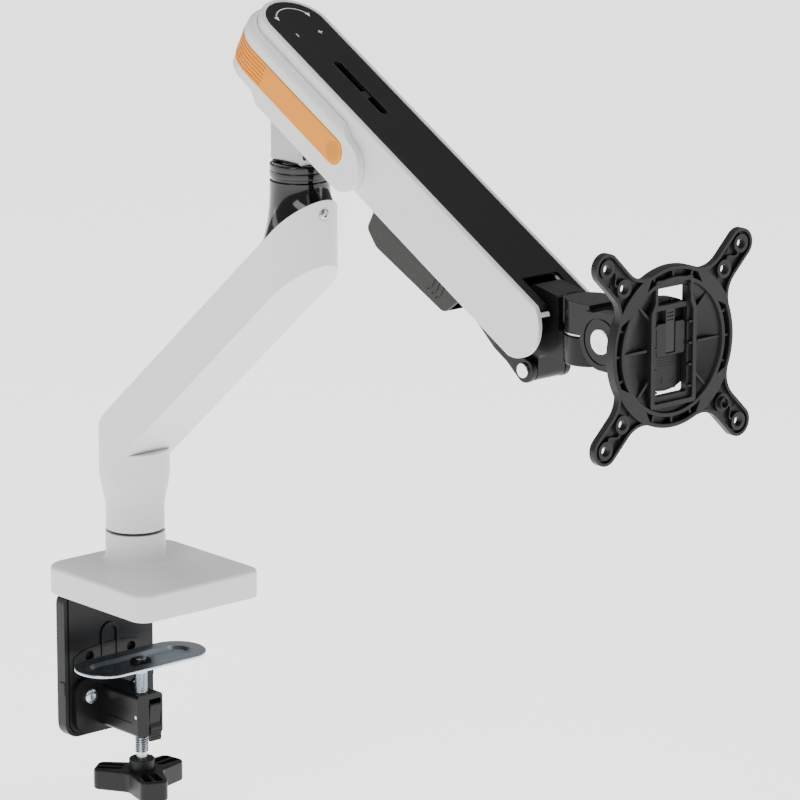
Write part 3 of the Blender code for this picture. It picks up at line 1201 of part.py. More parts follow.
def build_plate():
    """Monitor plate: a ring with four ears, screw holes and a window for the carrier's rail."""
    low = PLATE_FACE - PLATE_THICK
    centre = (0, 0, TILT_Z)
    corners = ((1, 1), (-1, 1), (-1, -1), (1, -1))
    floor = low + FLOOR_THICK
    groove_in = INNER_RING_R + RING_WALL
    groove_out = RING_R - RING_WALL
    plate = turned("monitor_plate", [
        (0, low), (RING_R, low), (RING_R, PLATE_FACE), (groove_out, PLATE_FACE), (groove_out, floor),
        (groove_in, floor), (groove_in, PLATE_FACE), (INNER_RING_R, PLATE_FACE), (INNER_RING_R, floor), (0, floor),
    ], centre, "X", "black_nylon", 44)
    far = VESA_LARGE / 2
    ear_start = INNER_RING_R + RING_WALL / 2
    across = PLATE_EAR_R + PLATE_EAR_FILLET
    along = math.sqrt((RING_R - 0.3 + PLATE_EAR_FILLET) ** 2 - across ** 2)
    lean = math.degrees(math.atan2(across, along))
    for i, (a, b) in enumerate(corners):
        step = 0.02 * (i + 1)
        ear = prism(f"plate_ear_{i}", [
            (ear_start, PLATE_EAR_R), (ear_start, -PLATE_EAR_R),
            *arc(along, -across, PLATE_EAR_FILLET, 180 - lean, 90, 6),
            *arc(far * math.sqrt(2), 0, PLATE_EAR_R, -90, 90, 12),
            *arc(along, across, PLATE_EAR_FILLET, 270, 180 + lean, 6),
        ], PLATE_FACE - EAR_THICK, PLATE_FACE - step, "X")
        turn = Matrix.Rotation(math.atan2(b, a), 4, "X")
        ear.data.transform(Matrix.Translation(Vector(centre) * MM) @ turn)
        join(plate, ear)
    join(plate, prism("window_frame", box_outline(-WINDOW_HALF, WINDOW_HALF, TILT_Z + WINDOW_LOW,
                                                  TILT_Z + WINDOW_HIGH, 2, 3), low + 0.2, PLATE_FACE - 0.2, "X"))
    cut(plate, prism("plate_window", box_outline(-WINDOW_HALF + 5.4, WINDOW_HALF - 5.4, TILT_Z - 27,
                                                 TILT_Z + 33, 1.5, 3), low - 2, PLATE_FACE + 2, "X"))
    for size in (VESA_LARGE, VESA_SMALL):
        for i, (a, b) in enumerate(corners):
            place = (0, a * size / 2, TILT_Z + b * size / 2)
            cut(plate, rod(f"plate_hole_{size:.0f}_{i}", VESA_HOLE_R, low - 2, PLATE_FACE + 2, place, "X", steps=12))
    joint = empty("plate_slide_axis", (low, 0, TILT_Z))
    hang(joint, plate)


def main():
    clear_scene()
    build_base()
    build_bracket()
    build_foot_and_knob()
    build_lower_arm()
    build_yoke()
    build_upper_arm()
    build_link()
    build_head()
    build_swivel()
    back = build_fork()
    build_carrier(back)
    build_plate()


main()
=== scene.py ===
"""Monitor arm on a desk clamp: its finished surface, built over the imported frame."""

import math

import bmesh
import bpy
from mathutils import Matrix, Vector


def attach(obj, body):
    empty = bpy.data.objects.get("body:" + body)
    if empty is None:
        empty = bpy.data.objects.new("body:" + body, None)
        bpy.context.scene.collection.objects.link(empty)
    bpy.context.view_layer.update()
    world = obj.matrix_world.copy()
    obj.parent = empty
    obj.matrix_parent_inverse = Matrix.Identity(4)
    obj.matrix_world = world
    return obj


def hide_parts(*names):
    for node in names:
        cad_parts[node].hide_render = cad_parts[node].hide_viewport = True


bl_info = {
    "name": "Monitor Arm",
    "version": (1, 0, 0),
    "blender": (4, 5, 0),
    "location": "View3D > Sidebar > Monitor Arm",
    "description": "Builds the finished surface of a spring-balanced monitor arm",
    "category": "Object",
}

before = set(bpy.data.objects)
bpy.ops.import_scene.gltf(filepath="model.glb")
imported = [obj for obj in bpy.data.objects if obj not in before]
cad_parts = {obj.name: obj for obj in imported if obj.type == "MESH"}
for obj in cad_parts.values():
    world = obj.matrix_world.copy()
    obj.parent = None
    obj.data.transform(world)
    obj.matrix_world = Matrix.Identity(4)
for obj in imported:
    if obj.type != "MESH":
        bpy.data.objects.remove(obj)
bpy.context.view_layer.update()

MM = 0.001
GAP = 0.3
PITCH = math.radians(28.9)
ELBOW_X = 160.7
PIVOT_Z = 356.7
REACH = 240.6
ARM_FRAME = Matrix.Translation(Vector((ELBOW_X, 0, PIVOT_Z))) @ Matrix.Rotation(PITCH, 4, "Y")
LINK_DROP = 28.8
LINK_FRAME = Matrix.Translation(Vector((ELBOW_X, 0, PIVOT_Z - LINK_DROP))) @ Matrix.Rotation(PITCH, 4, "Y")
SLOPE = math.radians(40.9)
SLOPE_TOP = 118.2
SLOPE_FRAME = Matrix.Translation(Vector((0, 0, SLOPE_TOP))) @ Matrix.Rotation(-SLOPE, 4, "Y")
TILT_X = 441.2
TILT_Z = 241.7
PAN_X = 409.0
PLATE_FACE = 475.5
CLAMP_X = 3.6


# ---------------------------------------------------------------- outlines

def arc(cx, cy, r, start, end, steps):
    """Points on a circle from start to end, in degrees."""
    turn = [math.radians(start + (end - start) * i / steps) for i in range(steps + 1)]
    return [(cx + r * math.cos(a), cy + r * math.sin(a)) for a in turn]


def rounded(corners, steps=8):
    """A closed outline from (x, y, radius) corners, each rounded by an arc."""
    points = []
    for i, (x, y, r) in enumerate(corners):
        if r <= 0:
            points.append((x, y))
            continue
        here = Vector((x, y))
        back = (Vector(corners[i - 1][:2]) - here).normalized()
        ahead = (Vector(corners[(i + 1) % len(corners)][:2]) - here).normalized()
        half = back.angle(ahead) / 2
        centre = here + (back + ahead).normalized() * (r / math.sin(half))
        first = here + back * (r / math.tan(half)) - centre
        turn = first.angle_signed(here + ahead * (r / math.tan(half)) - centre)
        points += [tuple(centre + Matrix.Rotation(-turn * k / steps, 2) @ first) for k in range(steps + 1)]
    return points


def box_outline(x0, x1, y0, y1, r=0.0, steps=6):
    return rounded([(x0, y0, r), (x1, y0, r), (x1, y1, r), (x0, y1, r)], steps)


def stadium(x0, x1, half, steps=24):
    return arc(x1, 0, half, -90, 90, steps) + arc(x0, 0, half, 90, 270, steps)


def u_outline(half, front, centre=-11.3, steps=40):
    """A plan that is round behind centre and straight in front of it."""
    return [(front, -half), (front, half), *arc(centre, 0, half, 90, 270, steps)]


def on_axis(axis, a, b, h):
    return {"X": (h, a, b), "Y": (a, h, b), "Z": (a, b, h)}[axis]


# ---------------------------------------------------------------- shapes, in millimetres

def shape(bm):
    """An unplaced object from a bmesh."""
    bmesh.ops.remove_doubles(bm, verts=bm.verts, dist=0.0005)
    bmesh.ops.recalc_face_normals(bm, faces=bm.faces)
    mesh = bpy.data.meshes.new("shape")
    bm.to_mesh(mesh)
    bm.free()
    item = bpy.data.objects.new("shape", mesh)
    bpy.context.scene.collection.objects.link(item)
    return item


def prism(points, low, high, axis="Z"):
    """An outline extruded from low to high along an axis."""
    bm = bmesh.new()
    face = bm.faces.new([bm.verts.new(on_axis(axis, a, b, low)) for a, b in points])
    moved = bmesh.ops.extrude_face_region(bm, geom=[face])["geom"]
    top = [v for v in moved if isinstance(v, bmesh.types.BMVert)]
    bmesh.ops.translate(bm, vec=Vector(on_axis(axis, 0, 0, high - low)), verts=top)
    return shape(bm)


def turned(profile, centre=(0, 0, 0), axis="Z", steps=64, ring=False):
    """A profile of (radius, height) points spun about an axis through centre."""
    bm = bmesh.new()
    verts = [bm.verts.new((r, 0, h)) for r, h in profile]
    edges = [bm.edges.new(pair) for pair in zip(verts, verts[1:])]
    if ring:
        edges.append(bm.edges.new((verts[-1], verts[0])))
    bmesh.ops.spin(
        bm, geom=verts + edges, cent=(0, 0, 0), axis=(0, 0, 1),
        angle=2 * math.pi, steps=steps, use_merge=True,
    )
    turn = {
        "Z": Matrix.Identity(4),
        "X": Matrix.Rotation(math.pi / 2, 4, "Y"),
        "Y": Matrix.Rotation(-math.pi / 2, 4, "X"),
    }[axis]
    bm.transform(Matrix.Translation(centre) @ turn)
    return shape(bm)


def rod(r, low, high, centre=(0, 0, 0), axis="Z", steps=48, edge=0.0):
    if edge:
        soft = arc(0, 0, edge, 0, 90, 3)
        top = [(r - edge + x, high - edge + y) for x, y in soft]
        bottom = [(r - edge + x, low + edge - y) for x, y in reversed(soft)]
        return turned([(0, low), *bottom, *top, (0, high)], centre, axis, steps)
    return turned([(0, low), (r, low), (r, high), (0, high)], centre, axis, steps)


def tube(inner, outer, low, high, centre=(0, 0, 0), axis="Z", steps=64):
    return turned([(inner, low), (outer, low), (outer, high), (inner, high)], centre, axis, steps, ring=True)


def loft(rings, closed_ends=True):
    """Rings of equally many (x, y, z) points bridged in order."""
    bm = bmesh.new()
    loops = [[bm.verts.new(p) for p in ring] for ring in rings]
    for lower, upper in zip(loops, loops[1:]):
        edges = []
        for ring in (lower, upper):
            for a, b in zip(ring, ring[1:] + ring[:1]):
                edges.append(bm.edges.get((a, b)) or bm.edges.new((a, b)))
        bmesh.ops.bridge_loops(bm, edges=edges)
    if closed_ends:
        bm.faces.new(loops[0][::-1])
        bm.faces.new(loops[-1])
    return shape(bm)


def settle(item):
    """Applies an object's modifiers to its mesh."""
    graph = bpy.context.evaluated_depsgraph_get()
    mesh = bpy.data.meshes.new_from_object(item.evaluated_get(graph))
    item.modifiers.clear()
    item.data = mesh
    return item


def combine(item, tools, operation):
    for tool in tools:
        modifier = item.modifiers.new("combine", "BOOLEAN")
        modifier.operation = operation
        modifier.solver = "EXACT"
        modifier.object = tool
    settle(item)
    for tool in tools:
        bpy.data.objects.remove(tool, do_unlink=True)
    return item


def cut(item, *tools):
    return combine(item, tools, "DIFFERENCE")


def join(item, *tools):
    return combine(item, tools, "UNION")


def keep(item, *tools):
    return combine(item, tools, "INTERSECT")


def bundle(first, *others):
    """Several closed bodies in one object."""
    bm = bmesh.new()
    for item in (first, *others):
        bm.from_mesh(item.data)
    bm.to_mesh(first.data)
    bm.free()
    for item in others:
        bpy.data.objects.remove(item, do_unlink=True)
    return first


def move(item, matrix):
    item.data.transform(matrix)
    return item


def soften(item, width, segments=2, angle=32):
    """Rounds every edge sharper than angle."""
    item.data.shade_smooth()
    modifier = item.modifiers.new("soften", "BEVEL")
    modifier.width = width
    modifier.segments = segments
    modifier.limit_method = "ANGLE"
    modifier.angle_limit = math.radians(angle)
    modifier.use_clamp_overlap = True
    return settle(item)


def place(name, item, finish, body, nodes=(), matrix=None, sharp=35):
    """Names a shape, takes it to its place in metres and ties it to its body."""
    item.name = name
    item.data.name = name
    if matrix is not None:
        item.data.transform(matrix)
    item.data.transform(Matrix.Scale(MM, 4))
    item.data.shade_smooth()
    item.data.set_sharp_from_angle(angle=math.radians(sharp))
    even = item.modifiers.new("even", "WEIGHTED_NORMAL")
    even.keep_sharp = True
    even.weight = 60
    settle(item)
    item.data.materials.clear()
    item.data.materials.append(finish)
    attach(item, body)
    if nodes:
        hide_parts(*nodes)
    return item


# ---------------------------------------------------------------- finishes

def new_group(name, inputs, outputs):
    group = bpy.data.node_groups.new(name, "ShaderNodeTree")
    for label, value in inputs:
        socket = group.interface.new_socket(label, in_out="INPUT", socket_type="NodeSocketFloat")
        socket.default_value = value
    for label in outputs:
        group.interface.new_socket(label, in_out="OUTPUT", socket_type="NodeSocketFloat")
    return group, group.nodes.new("NodeGroupInput"), group.nodes.new("NodeGroupOutput")


def math_node(nodes, links, operation, first, second):
    node = nodes.new("ShaderNodeMath")
    node.operation = operation
    for socket, value in zip(node.inputs, (first, second)):
        if isinstance(value, (int, float)):
            socket.default_value = value
        else:
            links.new(value, socket)
    return node.outputs[0]


def grain_group():
    """Fine moulded or painted grain: a bump height and a mask from 0 to 1."""
    found = bpy.data.node_groups.get("fine grain")
    if found:
        return found
    group, entry, exit_node = new_group("fine grain", [("Scale", 3000.0), ("Pits", 0.5)], ["Height", "Mask"])
    nodes, links = group.nodes, group.links
    place_node = nodes.new("ShaderNodeTexCoord")
    noise = nodes.new("ShaderNodeTexNoise")
    noise.inputs["Detail"].default_value = 3.0
    cells = nodes.new("ShaderNodeTexVoronoi")
    for node in (noise, cells):
        links.new(place_node.outputs["Object"], node.inputs["Vector"])
        links.new(entry.outputs["Scale"], node.inputs["Scale"])
    pits = math_node(nodes, links, "MULTIPLY", cells.outputs["Distance"], entry.outputs["Pits"])
    height = math_node(nodes, links, "ADD", noise.outputs["Fac"], pits)
    links.new(height, exit_node.inputs["Height"])
    links.new(noise.outputs["Fac"], exit_node.inputs["Mask"])
    return group


def handling_group():
    """Faint handling marks: slow patches crossed by fine streaks, from 0 to 1."""
    found = bpy.data.node_groups.get("handling marks")
    if found:
        return found
    group, entry, exit_node = new_group("handling marks", [("Scale", 18.0)], ["Mask"])
    nodes, links = group.nodes, group.links
    place_node = nodes.new("ShaderNodeTexCoord")
    patches = nodes.new("ShaderNodeTexNoise")
    patches.inputs["Detail"].default_value = 4.0
    streaks = nodes.new("ShaderNodeTexNoise")
    streaks.inputs["Scale"].default_value = 420.0
    streaks.inputs["Detail"].default_value = 2.0
    links.new(place_node.outputs["Object"], patches.inputs["Vector"])
    links.new(place_node.outputs["Object"], streaks.inputs["Vector"])
    links.new(entry.outputs["Scale"], patches.inputs["Scale"])
    links.new(math_node(nodes, links, "MULTIPLY", patches.outputs["Fac"], streaks.outputs["Fac"]), exit_node.inputs["Mask"])
    return group


def brushed_group():
    """Brush lines along one axis, chosen by how much each axis is stretched."""
    found = bpy.data.node_groups.get("brush lines")
    if found:
        return found
    group, entry, exit_node = new_group("brush lines", [("Along X", 1.0), ("Along Y", 1.0), ("Along Z", 1.0)], ["Height"])
    nodes, links = group.nodes, group.links
    place_node = nodes.new("ShaderNodeTexCoord")
    split = nodes.new("ShaderNodeSeparateXYZ")
    merge = nodes.new("ShaderNodeCombineXYZ")
    links.new(place_node.outputs["Object"], split.inputs[0])
    for i, label in enumerate(("Along X", "Along Y", "Along Z")):
        links.new(math_node(nodes, links, "MULTIPLY", split.outputs[i], entry.outputs[label]), merge.inputs[i])
    lines = nodes.new("ShaderNodeTexNoise")
    lines.inputs["Scale"].default_value = 1.0
    lines.inputs["Detail"].default_value = 4.0
    links.new(merge.outputs[0], lines.inputs["Vector"])
    links.new(lines.outputs["Fac"], exit_node.inputs["Height"])
    return group


def material(name, colour, roughness, metallic=0.0, grain=0.0, grain_scale=3000.0, shift=0.06, vary=0.12,
             coat=0.0, brush=None, bump=0.00004, ior=1.5):
    """A finish with its grain, handling marks and, on bare metal, brush lines."""
    made = bpy.data.materials.new(name)
    made.use_nodes = True
    nodes, links = made.node_tree.nodes, made.node_tree.links
    shader = nodes["Principled BSDF"]
    shader.inputs["Base Color"].default_value = (*colour, 1)
    shader.inputs["Roughness"].default_value = roughness
    shader.inputs["Metallic"].default_value = metallic
    shader.inputs["IOR"].default_value = ior
    if coat:
        shader.inputs["Coat Weight"].default_value = coat
        shader.inputs["Coat Roughness"].default_value = 0.06
    marks = nodes.new("ShaderNodeGroup")
    marks.node_tree = handling_group()
    rough = nodes.new("ShaderNodeMapRange")
    rough.inputs["From Min"].default_value = 0.1
    rough.inputs["From Max"].default_value = 0.45
    rough.inputs["To Min"].default_value = max(0.02, roughness - vary * roughness)
    rough.inputs["To Max"].default_value = roughness + vary * roughness
    links.new(marks.outputs["Mask"], rough.inputs["Value"])
    links.new(rough.outputs["Result"], shader.inputs["Roughness"])
    tone = nodes.new("ShaderNodeMix")
    tone.data_type = "RGBA"
    tone.inputs["A"].default_value = (*[c * (1 - shift) for c in colour], 1)
    tone.inputs["B"].default_value = (*[min(1, c * (1 + shift)) for c in colour], 1)
    links.new(tone.outputs["Result"], shader.inputs["Base Color"])
    height = None
    if brush:
        lines = nodes.new("ShaderNodeGroup")
        lines.node_tree = brushed_group()
        for socket, value in zip(lines.inputs, brush):
            socket.default_value = value
        height = lines.outputs["Height"]
        links.new(height, tone.inputs["Factor"])
    else:
        fine = nodes.new("ShaderNodeGroup")
        fine.node_tree = grain_group()
        fine.inputs["Scale"].default_value = grain_scale
        height = fine.outputs["Height"]
        links.new(fine.outputs["Mask"], tone.inputs["Factor"])
    strength = grain if grain else (0.25 if brush else 0.0)
    if strength:
        relief = nodes.new("ShaderNodeBump")
        relief.inputs["Strength"].default_value = strength
        relief.inputs["Distance"].default_value = bump
        links.new(height, relief.inputs["Height"])
        links.new(relief.outputs["Normal"], shader.inputs["Normal"])
    return made


FINISHES = {}


def finish(name):
    """The shared finish of this name, made from the panel's colours on first use."""
    if name in FINISHES:
        return FINISHES[name]
    c = bpy.context.scene.monitor_arm_colours
    recipes = {
        "white paint": dict(colour=c.white, roughness=0.36, grain=0.05, shift=0.01),
        "white plastic": dict(colour=c.white, roughness=0.3, grain=0.03, shift=0.01),
        "black paint": dict(ior=1.32, colour=c.black, roughness=0.3, grain=0.04, grain_scale=2600.0, shift=0.2),
        "black cover": dict(ior=1.32, colour=c.black, roughness=0.36, grain=0.12, grain_scale=3600.0, shift=0.15),
        "black gloss": dict(ior=1.42, colour=(0.004, 0.004, 0.0045), roughness=0.1, shift=0.0, coat=0.3),
        "black nylon": dict(ior=1.32, colour=(0.012, 0.0125, 0.013), roughness=0.42, grain=0.22, grain_scale=1900.0, shift=0.3),
        "black moulding": dict(ior=1.32, colour=(0.008, 0.008, 0.0085), roughness=0.36, grain=0.14, grain_scale=2200.0, shift=0.2),
        "grey plastic": dict(ior=1.32, colour=c.grey, roughness=0.55, grain=0.25, grain_scale=2400.0, shift=0.15),
        "orange plastic": dict(colour=c.orange, ior=1.35, roughness=0.36, grain=0.08, shift=0.03),
        # Darker orange painted on the band's dots as the shade inside moulded dimples; the dots are flat discs, not
        # hollows.
        "painted dimple shade": dict(colour=tuple(v * 0.35 for v in c.orange), roughness=0.5, shift=0.04),
        "brushed steel": dict(colour=(0.42, 0.42, 0.42), roughness=0.4, metallic=1.0, brush=(160.0, 160.0, 2600.0)),
        "zinc": dict(colour=(0.5, 0.53, 0.56), roughness=0.3, metallic=1.0, grain=0.06, shift=0.05),
        "polished zinc": dict(colour=(0.52, 0.6, 0.66), roughness=0.3, metallic=1.0, grain=0.03, shift=0.1),
        "spun aluminium": dict(colour=(0.88, 0.88, 0.89), roughness=0.26, metallic=1.0, shift=0.02),
        "bush plastic": dict(colour=(0.72, 0.7, 0.63), roughness=0.5, grain=0.1),
        "pad foam": dict(colour=(0.03, 0.03, 0.03), roughness=0.9, grain=0.5, grain_scale=900.0, shift=0.3),
        "print": dict(colour=(0.75, 0.75, 0.75), roughness=0.5),
    }
    made = material(name, **{**recipes[name], "colour": tuple(recipes[name]["colour"])})
    FINISHES[name] = made
    return made


class MonitorArmColours(bpy.types.PropertyGroup):
    white: bpy.props.FloatVectorProperty(
        name="White", description="Colour of the arms, the housing and the base cover",
        subtype="COLOR", size=3, min=0, max=1, default=(0.76, 0.76, 0.755))
    black: bpy.props.FloatVectorProperty(
        name="Black", description="Colour of the top cover, the clamp and the head",
        subtype="COLOR", size=3, min=0, max=1, default=(0.006, 0.006, 0.0065))
    orange: bpy.props.FloatVectorProperty(
        name="Orange", description="Colour of the band round the pivot housing",
        subtype="COLOR", size=3, min=0, max=1, default=(0.8, 0.265, 0.0))
    grey: bpy.props.FloatVectorProperty(
        name="Grey", description="Colour of the cable clip and the latch",
        subtype="COLOR", size=3, min=0, max=1, default=(0.034, 0.033, 0.032))


class MonitorArmSizes(bpy.types.PropertyGroup):
    thread_pitch: bpy.props.FloatProperty(
        name="Thread Pitch", description="Pitch of the clamp screw's thread", unit="LENGTH", default=0.0015)
    groove_count: bpy.props.IntProperty(
        name="Band Grooves", description="Grooves round the rear of the coloured band", default=6, min=1, max=12)
    edge: bpy.props.FloatProperty(
        name="Edge Radius", description="Radius on the moulded edges", unit="LENGTH", default=0.0006)


# ---------------------------------------------------------------- desk base and clamp

def base_outline(inset=0.0):
    front, rear, half = 66.5 - inset, -33.5 + inset, 48 - inset
    near, far = max(1.0, 10 - inset * 0.8), max(1.0, 14 - inset * 0.8)
    return rounded([(rear, -half, far), (front, -half, near), (front, half, near), (rear, half, far)], 10)


def button_screw(head_r, head_h, shank_r, length, sign=1):
    """A domed screw head with a hex socket, its seat at zero, along Z."""
    dome = [(head_r * math.cos(a), 0.35 * head_h + 0.65 * head_h * math.sin(a))
            for a in [math.radians(10 * i) for i in range(8)]]
    head = turned([(0, -length), (shank_r, -length), (shank_r, 0), (head_r, 0), *dome, (0, head_h)], steps=40)
    socket = arc(0, 0, head_r * 0.5, 0, 300, 5)
    return cut(head, prism(socket, head_h * 0.3, head_h + 2))


def build_base_cover():
    top, edge, collar, collar_top = 18.5, 2.5, 18.7, 39.0
    soft = [(edge - x, top - edge + y) for x, y in arc(0, 0, edge, 0, 90, 5)]
    levels = [(0.5, 1.0), (0.0, 1.5), *soft, (9, top + 0.45), (17, top + 0.7)]
    cover = loft([[(x, y, z) for x, y in base_outline(inset)] for inset, z in levels])
    fillet = arc(collar + 6, top + 6.4, 6, 270, 180, 12)
    join(cover, turned([
        (0, top - 3), (collar + 9, top - 3), (collar + 8.6, top + 0.35), *fillet,
        (collar, collar_top - 0.8), (collar - 0.25, collar_top - 0.25), (collar - 0.8, collar_top), (0, collar_top),
    ], steps=96))
    cut(
        cover,
        prism(base_outline(2.6), -4, top - 2.6),
        rod(15.5, top - 4, collar_top + 5, steps=64),
    )
    place("base_cover_skin", cover, finish("white paint"), "base", ["base_cover"], sharp=28)
    ring = tube(11.3, 17.8, 39.3, 40.3, steps=96)
    place("base_seam_ring", ring, finish("black nylon"), "base", ["seam_ring"])


def build_bracket():
    back, face, half = -30.5, -27.5, 32.0
    outline = rounded([
        (-half, -96, 9), (half, -96, 9), (half, -0.5, 1.5), (20, -0.5, 0), (20, 8.2, 0), (-20, 8.2, 0),
        (-20, -0.5, 0), (-half, -0.5, 1.5),
    ], 8)
    plate = prism(outline, back, face, "X")
    join(plate, prism(box_outline(face - 1, -16.5, -19.95, 19.95), 5.2, 8.18))
    guide = [(7.2, -58), *arc(0, -34.2, 7.2, 0, 180, 20), (-7.2, -58), (-4.6, -58),
             *arc(0, -34.2, 4.6, 180, 0, 20), (4.6, -58)]
    raised = [(29, -58), (29, -46), *arc(0, -150, 110, 78, 102, 20), (-29, -46), (-29, -58)]
    join(plate, prism(raised, face - 1, face + 0.5, "X"))
    join(plate, prism(guide, face - 1, face + 1.2, "X"))
    for side in (-1, 1):
        cut(plate, rod(2.5, 4, 10, (-22, side * 12, 0), steps=24),
            rod(3.4, back - 1, face + 3, (0, side * 16.5, -46.5), "X"),
            rod(2.8, back - 1, face + 3, (0, side * 18.5, -71.4), "X"))
    soften(plate, 0.35, 2)
    place("rear_bracket_skin", plate, finish("black paint"), "base", ["rear_bracket"])

    cover = prism(box_outline(-35, 35, -97.8, -1.1, 10, 10), -36.6, -28.4, "X")
    cut(cover, prism(box_outline(-32.3, 32.3, -96.3, 6, 9, 10), -34.4, -20, "X"))
    for side in (-1, 1):
        join(cover, rod(5.0, -35.6, -30.8, (0, side * 16.5, -46.5), "X"))
        low, high = sorted((side * 33.2, side * 35.7))
        join(cover, prism(box_outline(-33.5, -28.6, low, high, 0.4, 3), -69, -61, "Z"))
    soften(cover, 0.7, 3)
    place("rear_cover_skin", cover, finish("black nylon"), "base", ["rear_cover"])


def build_clamp_arm():
    low, high, front, half = -27.2, -24.2, 12.4, 10.0
    arm = prism(box_outline(-29.5, 29.5, -94, -60, 8, 10), low, high, "X")
    profile = rounded([(-92.4, -half, 2.5), (-65.6, -half, 2.5), (-65.6, half, 2.5), (-92.4, half, 2.5)], 4)
    join(arm, prism([(y, z) for z, y in profile], low + 1, front, "X"))
    cut(
        arm,
        rod(4.7, -94, -60, (CLAMP_X, 0, 0)),
        prism(box_outline(-0.6, half - 1.4, -93.6, -69.1, 0.8, 4), CLAMP_X + 2, front + 5, "X"),
        rod(1.6, -half - 2, half + 2, (10, 0, -79.6), "Y"),
        prism(box_outline(-20, 7, -84, -74, 1, 4), -half - 1, -half + 0.5, "Y"),
    )
    for side in (-1, 1):
        cut(arm, rod(2.8, low - 1, high + 1, (0, side * 18.5, -71.4), "X"))
    soften(arm, 0.5, 3)
    place("clamp_arm_skin", arm, finish("black paint"), "base", ["clamp_arm"])
    for label, side in (("near", -1), ("far", 1)):
        bolt = button_screw(4.7, 2.7, 2.4, 8.6)
        seat = Matrix.Translation(Vector((high + GAP, side * 18.5, -71.4))) @ Matrix.Rotation(math.pi / 2, 4, "Y")
        place(f"clamp_bolt_{label}_skin", bolt, finish("zinc"), "base", [f"clamp_bolt_{label}"], seat)
    lever = prism(rounded([
        (9.4, -84.6, 0.6), (10.6, -96.6, 0.8), (13.4, -96.6, 1.2), (13.4, -87.5, 1.0), (12.0, -85, 1.5),
        (13.4, -72.2, 1.2), (9.4, -72.2, 0.6),
    ], 4), -0.2, half - 1.8, "Y")
    cut(lever, rod(1.6, -5, 15, (10, 0, -79.6), "Y"))
    for z in (-95.2, -93.4, -91.6, -89.8):
        cut(lever, prism(box_outline(13.0, 15, z - 0.35, z + 0.35), -1, 9, "Y"))
    soften(lever, 0.25, 2)
    place("release_lever_skin", lever, finish("black moulding"), "release", ["release_lever"])


def build_foot_and_screw():
    sizes = bpy.context.scene.monitor_arm_sizes
    foot_z, half, run = -44.0, 19.5, 27.5

    def obround(r):
        return [(CLAMP_X + b, a) for a, b in stadium(-run, run, r, 40)]

    lip = [(half - 0.5, foot_z - 2), (half, foot_z - 1.5), (half, foot_z - 0.5), (half - 0.5, foot_z)]
    slope = [(half - 8.4, foot_z), (half - 9.3, foot_z - 0.5), (half - 11.2, foot_z - 2.3), (half - 12.0, foot_z - 2.6)]
    under = [(half - 11.0, foot_z - 4.6), (half - 9.4, foot_z - 4.2), (half - 7.6, foot_z - 2.6), (half - 6.6, foot_z - 2)]
    foot = loft([[(x, y, z) for x, y in obround(r)] for r, z in (*under, *lip, *slope)])
    cut(foot, rod(4.7, foot_z - 20, foot_z + 2, (CLAMP_X, 0, 0)))
    place("pressure_plate_skin", foot, finish("polished zinc"), "foot", ["pressure_plate"], sharp=50)

    pitch = sizes.thread_pitch / MM
    low, high, radius, around, per_turn = -104.6, -53.0, 4.3, 32, 6
    rows = int((high - low) / pitch * per_turn)
    rings = []
    for row in range(rows + 1):
        z = low + (high - low) * row / rows
        ring = []
        for i in range(around):
            turn = i / around
            phase = (z / pitch - turn) % 1.0
            r = radius - 0.8 * abs(2 * phase - 1)
            angle = 2 * math.pi * turn
            ring.append((CLAMP_X + r * math.cos(angle), r * math.sin(angle), z))
        rings.append(ring)
    thread = loft(rings)
    bundle(
        thread,
        rod(3.4, -123, low + 0.2, (CLAMP_X, 0, 0)),
        turned([(0, high - 0.2), (radius - 0.3, high - 0.2), (radius - 0.3, -47.4), (radius - 0.7, -47.0), (0, -47.0)],
               (CLAMP_X, 0, 0)),
    )
    place("clamp_screw_skin", thread, finish("zinc"), "screw", ["clamp_screw"], sharp=60)
    disc = turned([(1.9, -46.3), (6.8, -46.3), (6.8, -45.2), (6.3, -44.7), (1.9, -44.7)], (CLAMP_X, 0, 0), ring=True)
    place("plate_retainer_skin", disc, finish("black moulding"), "screw", ["plate_retainer"])
    head = button_screw(3.6, 1.6, 1.6, 4.2)
    place("retainer_screw_skin", head, finish("zinc"), "screw", ["retainer_screw"],
          Matrix.Translation(Vector((CLAMP_X, 0, -44.4))))


def build_knob():
    low, top, radius, lobe = -129.3, -109.0, 30.0, 8.5
    centres = (-22, 98, 218)
    corners = []
    for centre in centres:
        a = math.radians(centre)
        out, side = Vector((math.cos(a), math.sin(a))), Vector((-math.sin(a), math.cos(a)))
        for sign in (-1, 1):
            tip = out * radius + side * (sign * lobe)
            corners.append((CLAMP_X + tip.x, tip.y, 4.5))
        a += math.pi / 3
        corners.append((CLAMP_X + 13 * math.cos(a), 13 * math.sin(a), 7.0))
    knob = prism(rounded(corners, 8), low, top - 7)
    soften(knob, 1.4, 4, angle=60)
    cells = []
    for centre in centres:
        a = math.radians(centre)
        out = Vector((math.cos(a), math.sin(a)))
        for sign in (-1, 1):
            side = Vector((-out.y, out.x)) * sign
            cell = [out * 11 + side * 0.9, out * (radius - 1.9) + side * 0.9,
                    out * (radius - 1.9) + side * (lobe - 2.2), out * 13.2 + side * 5.2]
            if sign < 0:
                cell.reverse()
            cells.append(prism(rounded([(CLAMP_X + p.x, p.y, 1.2) for p in cell], 4), low + 3, top + 5))
    cut(knob, *cells)
    join(knob, turned([(0, low + 5), (8.2, low + 5), (8.2, top - 0.6), (7.6, top), (0, top)], (CLAMP_X, 0, 0)))
    cut(knob, rod(3.7, low + 4, top + 2, (CLAMP_X, 0, 0)))
    place("clamp_knob_skin", knob, finish("black nylon"), "screw", ["clamp_knob"], sharp=32)


# ---------------------------------------------------------------- lower arm and elbow

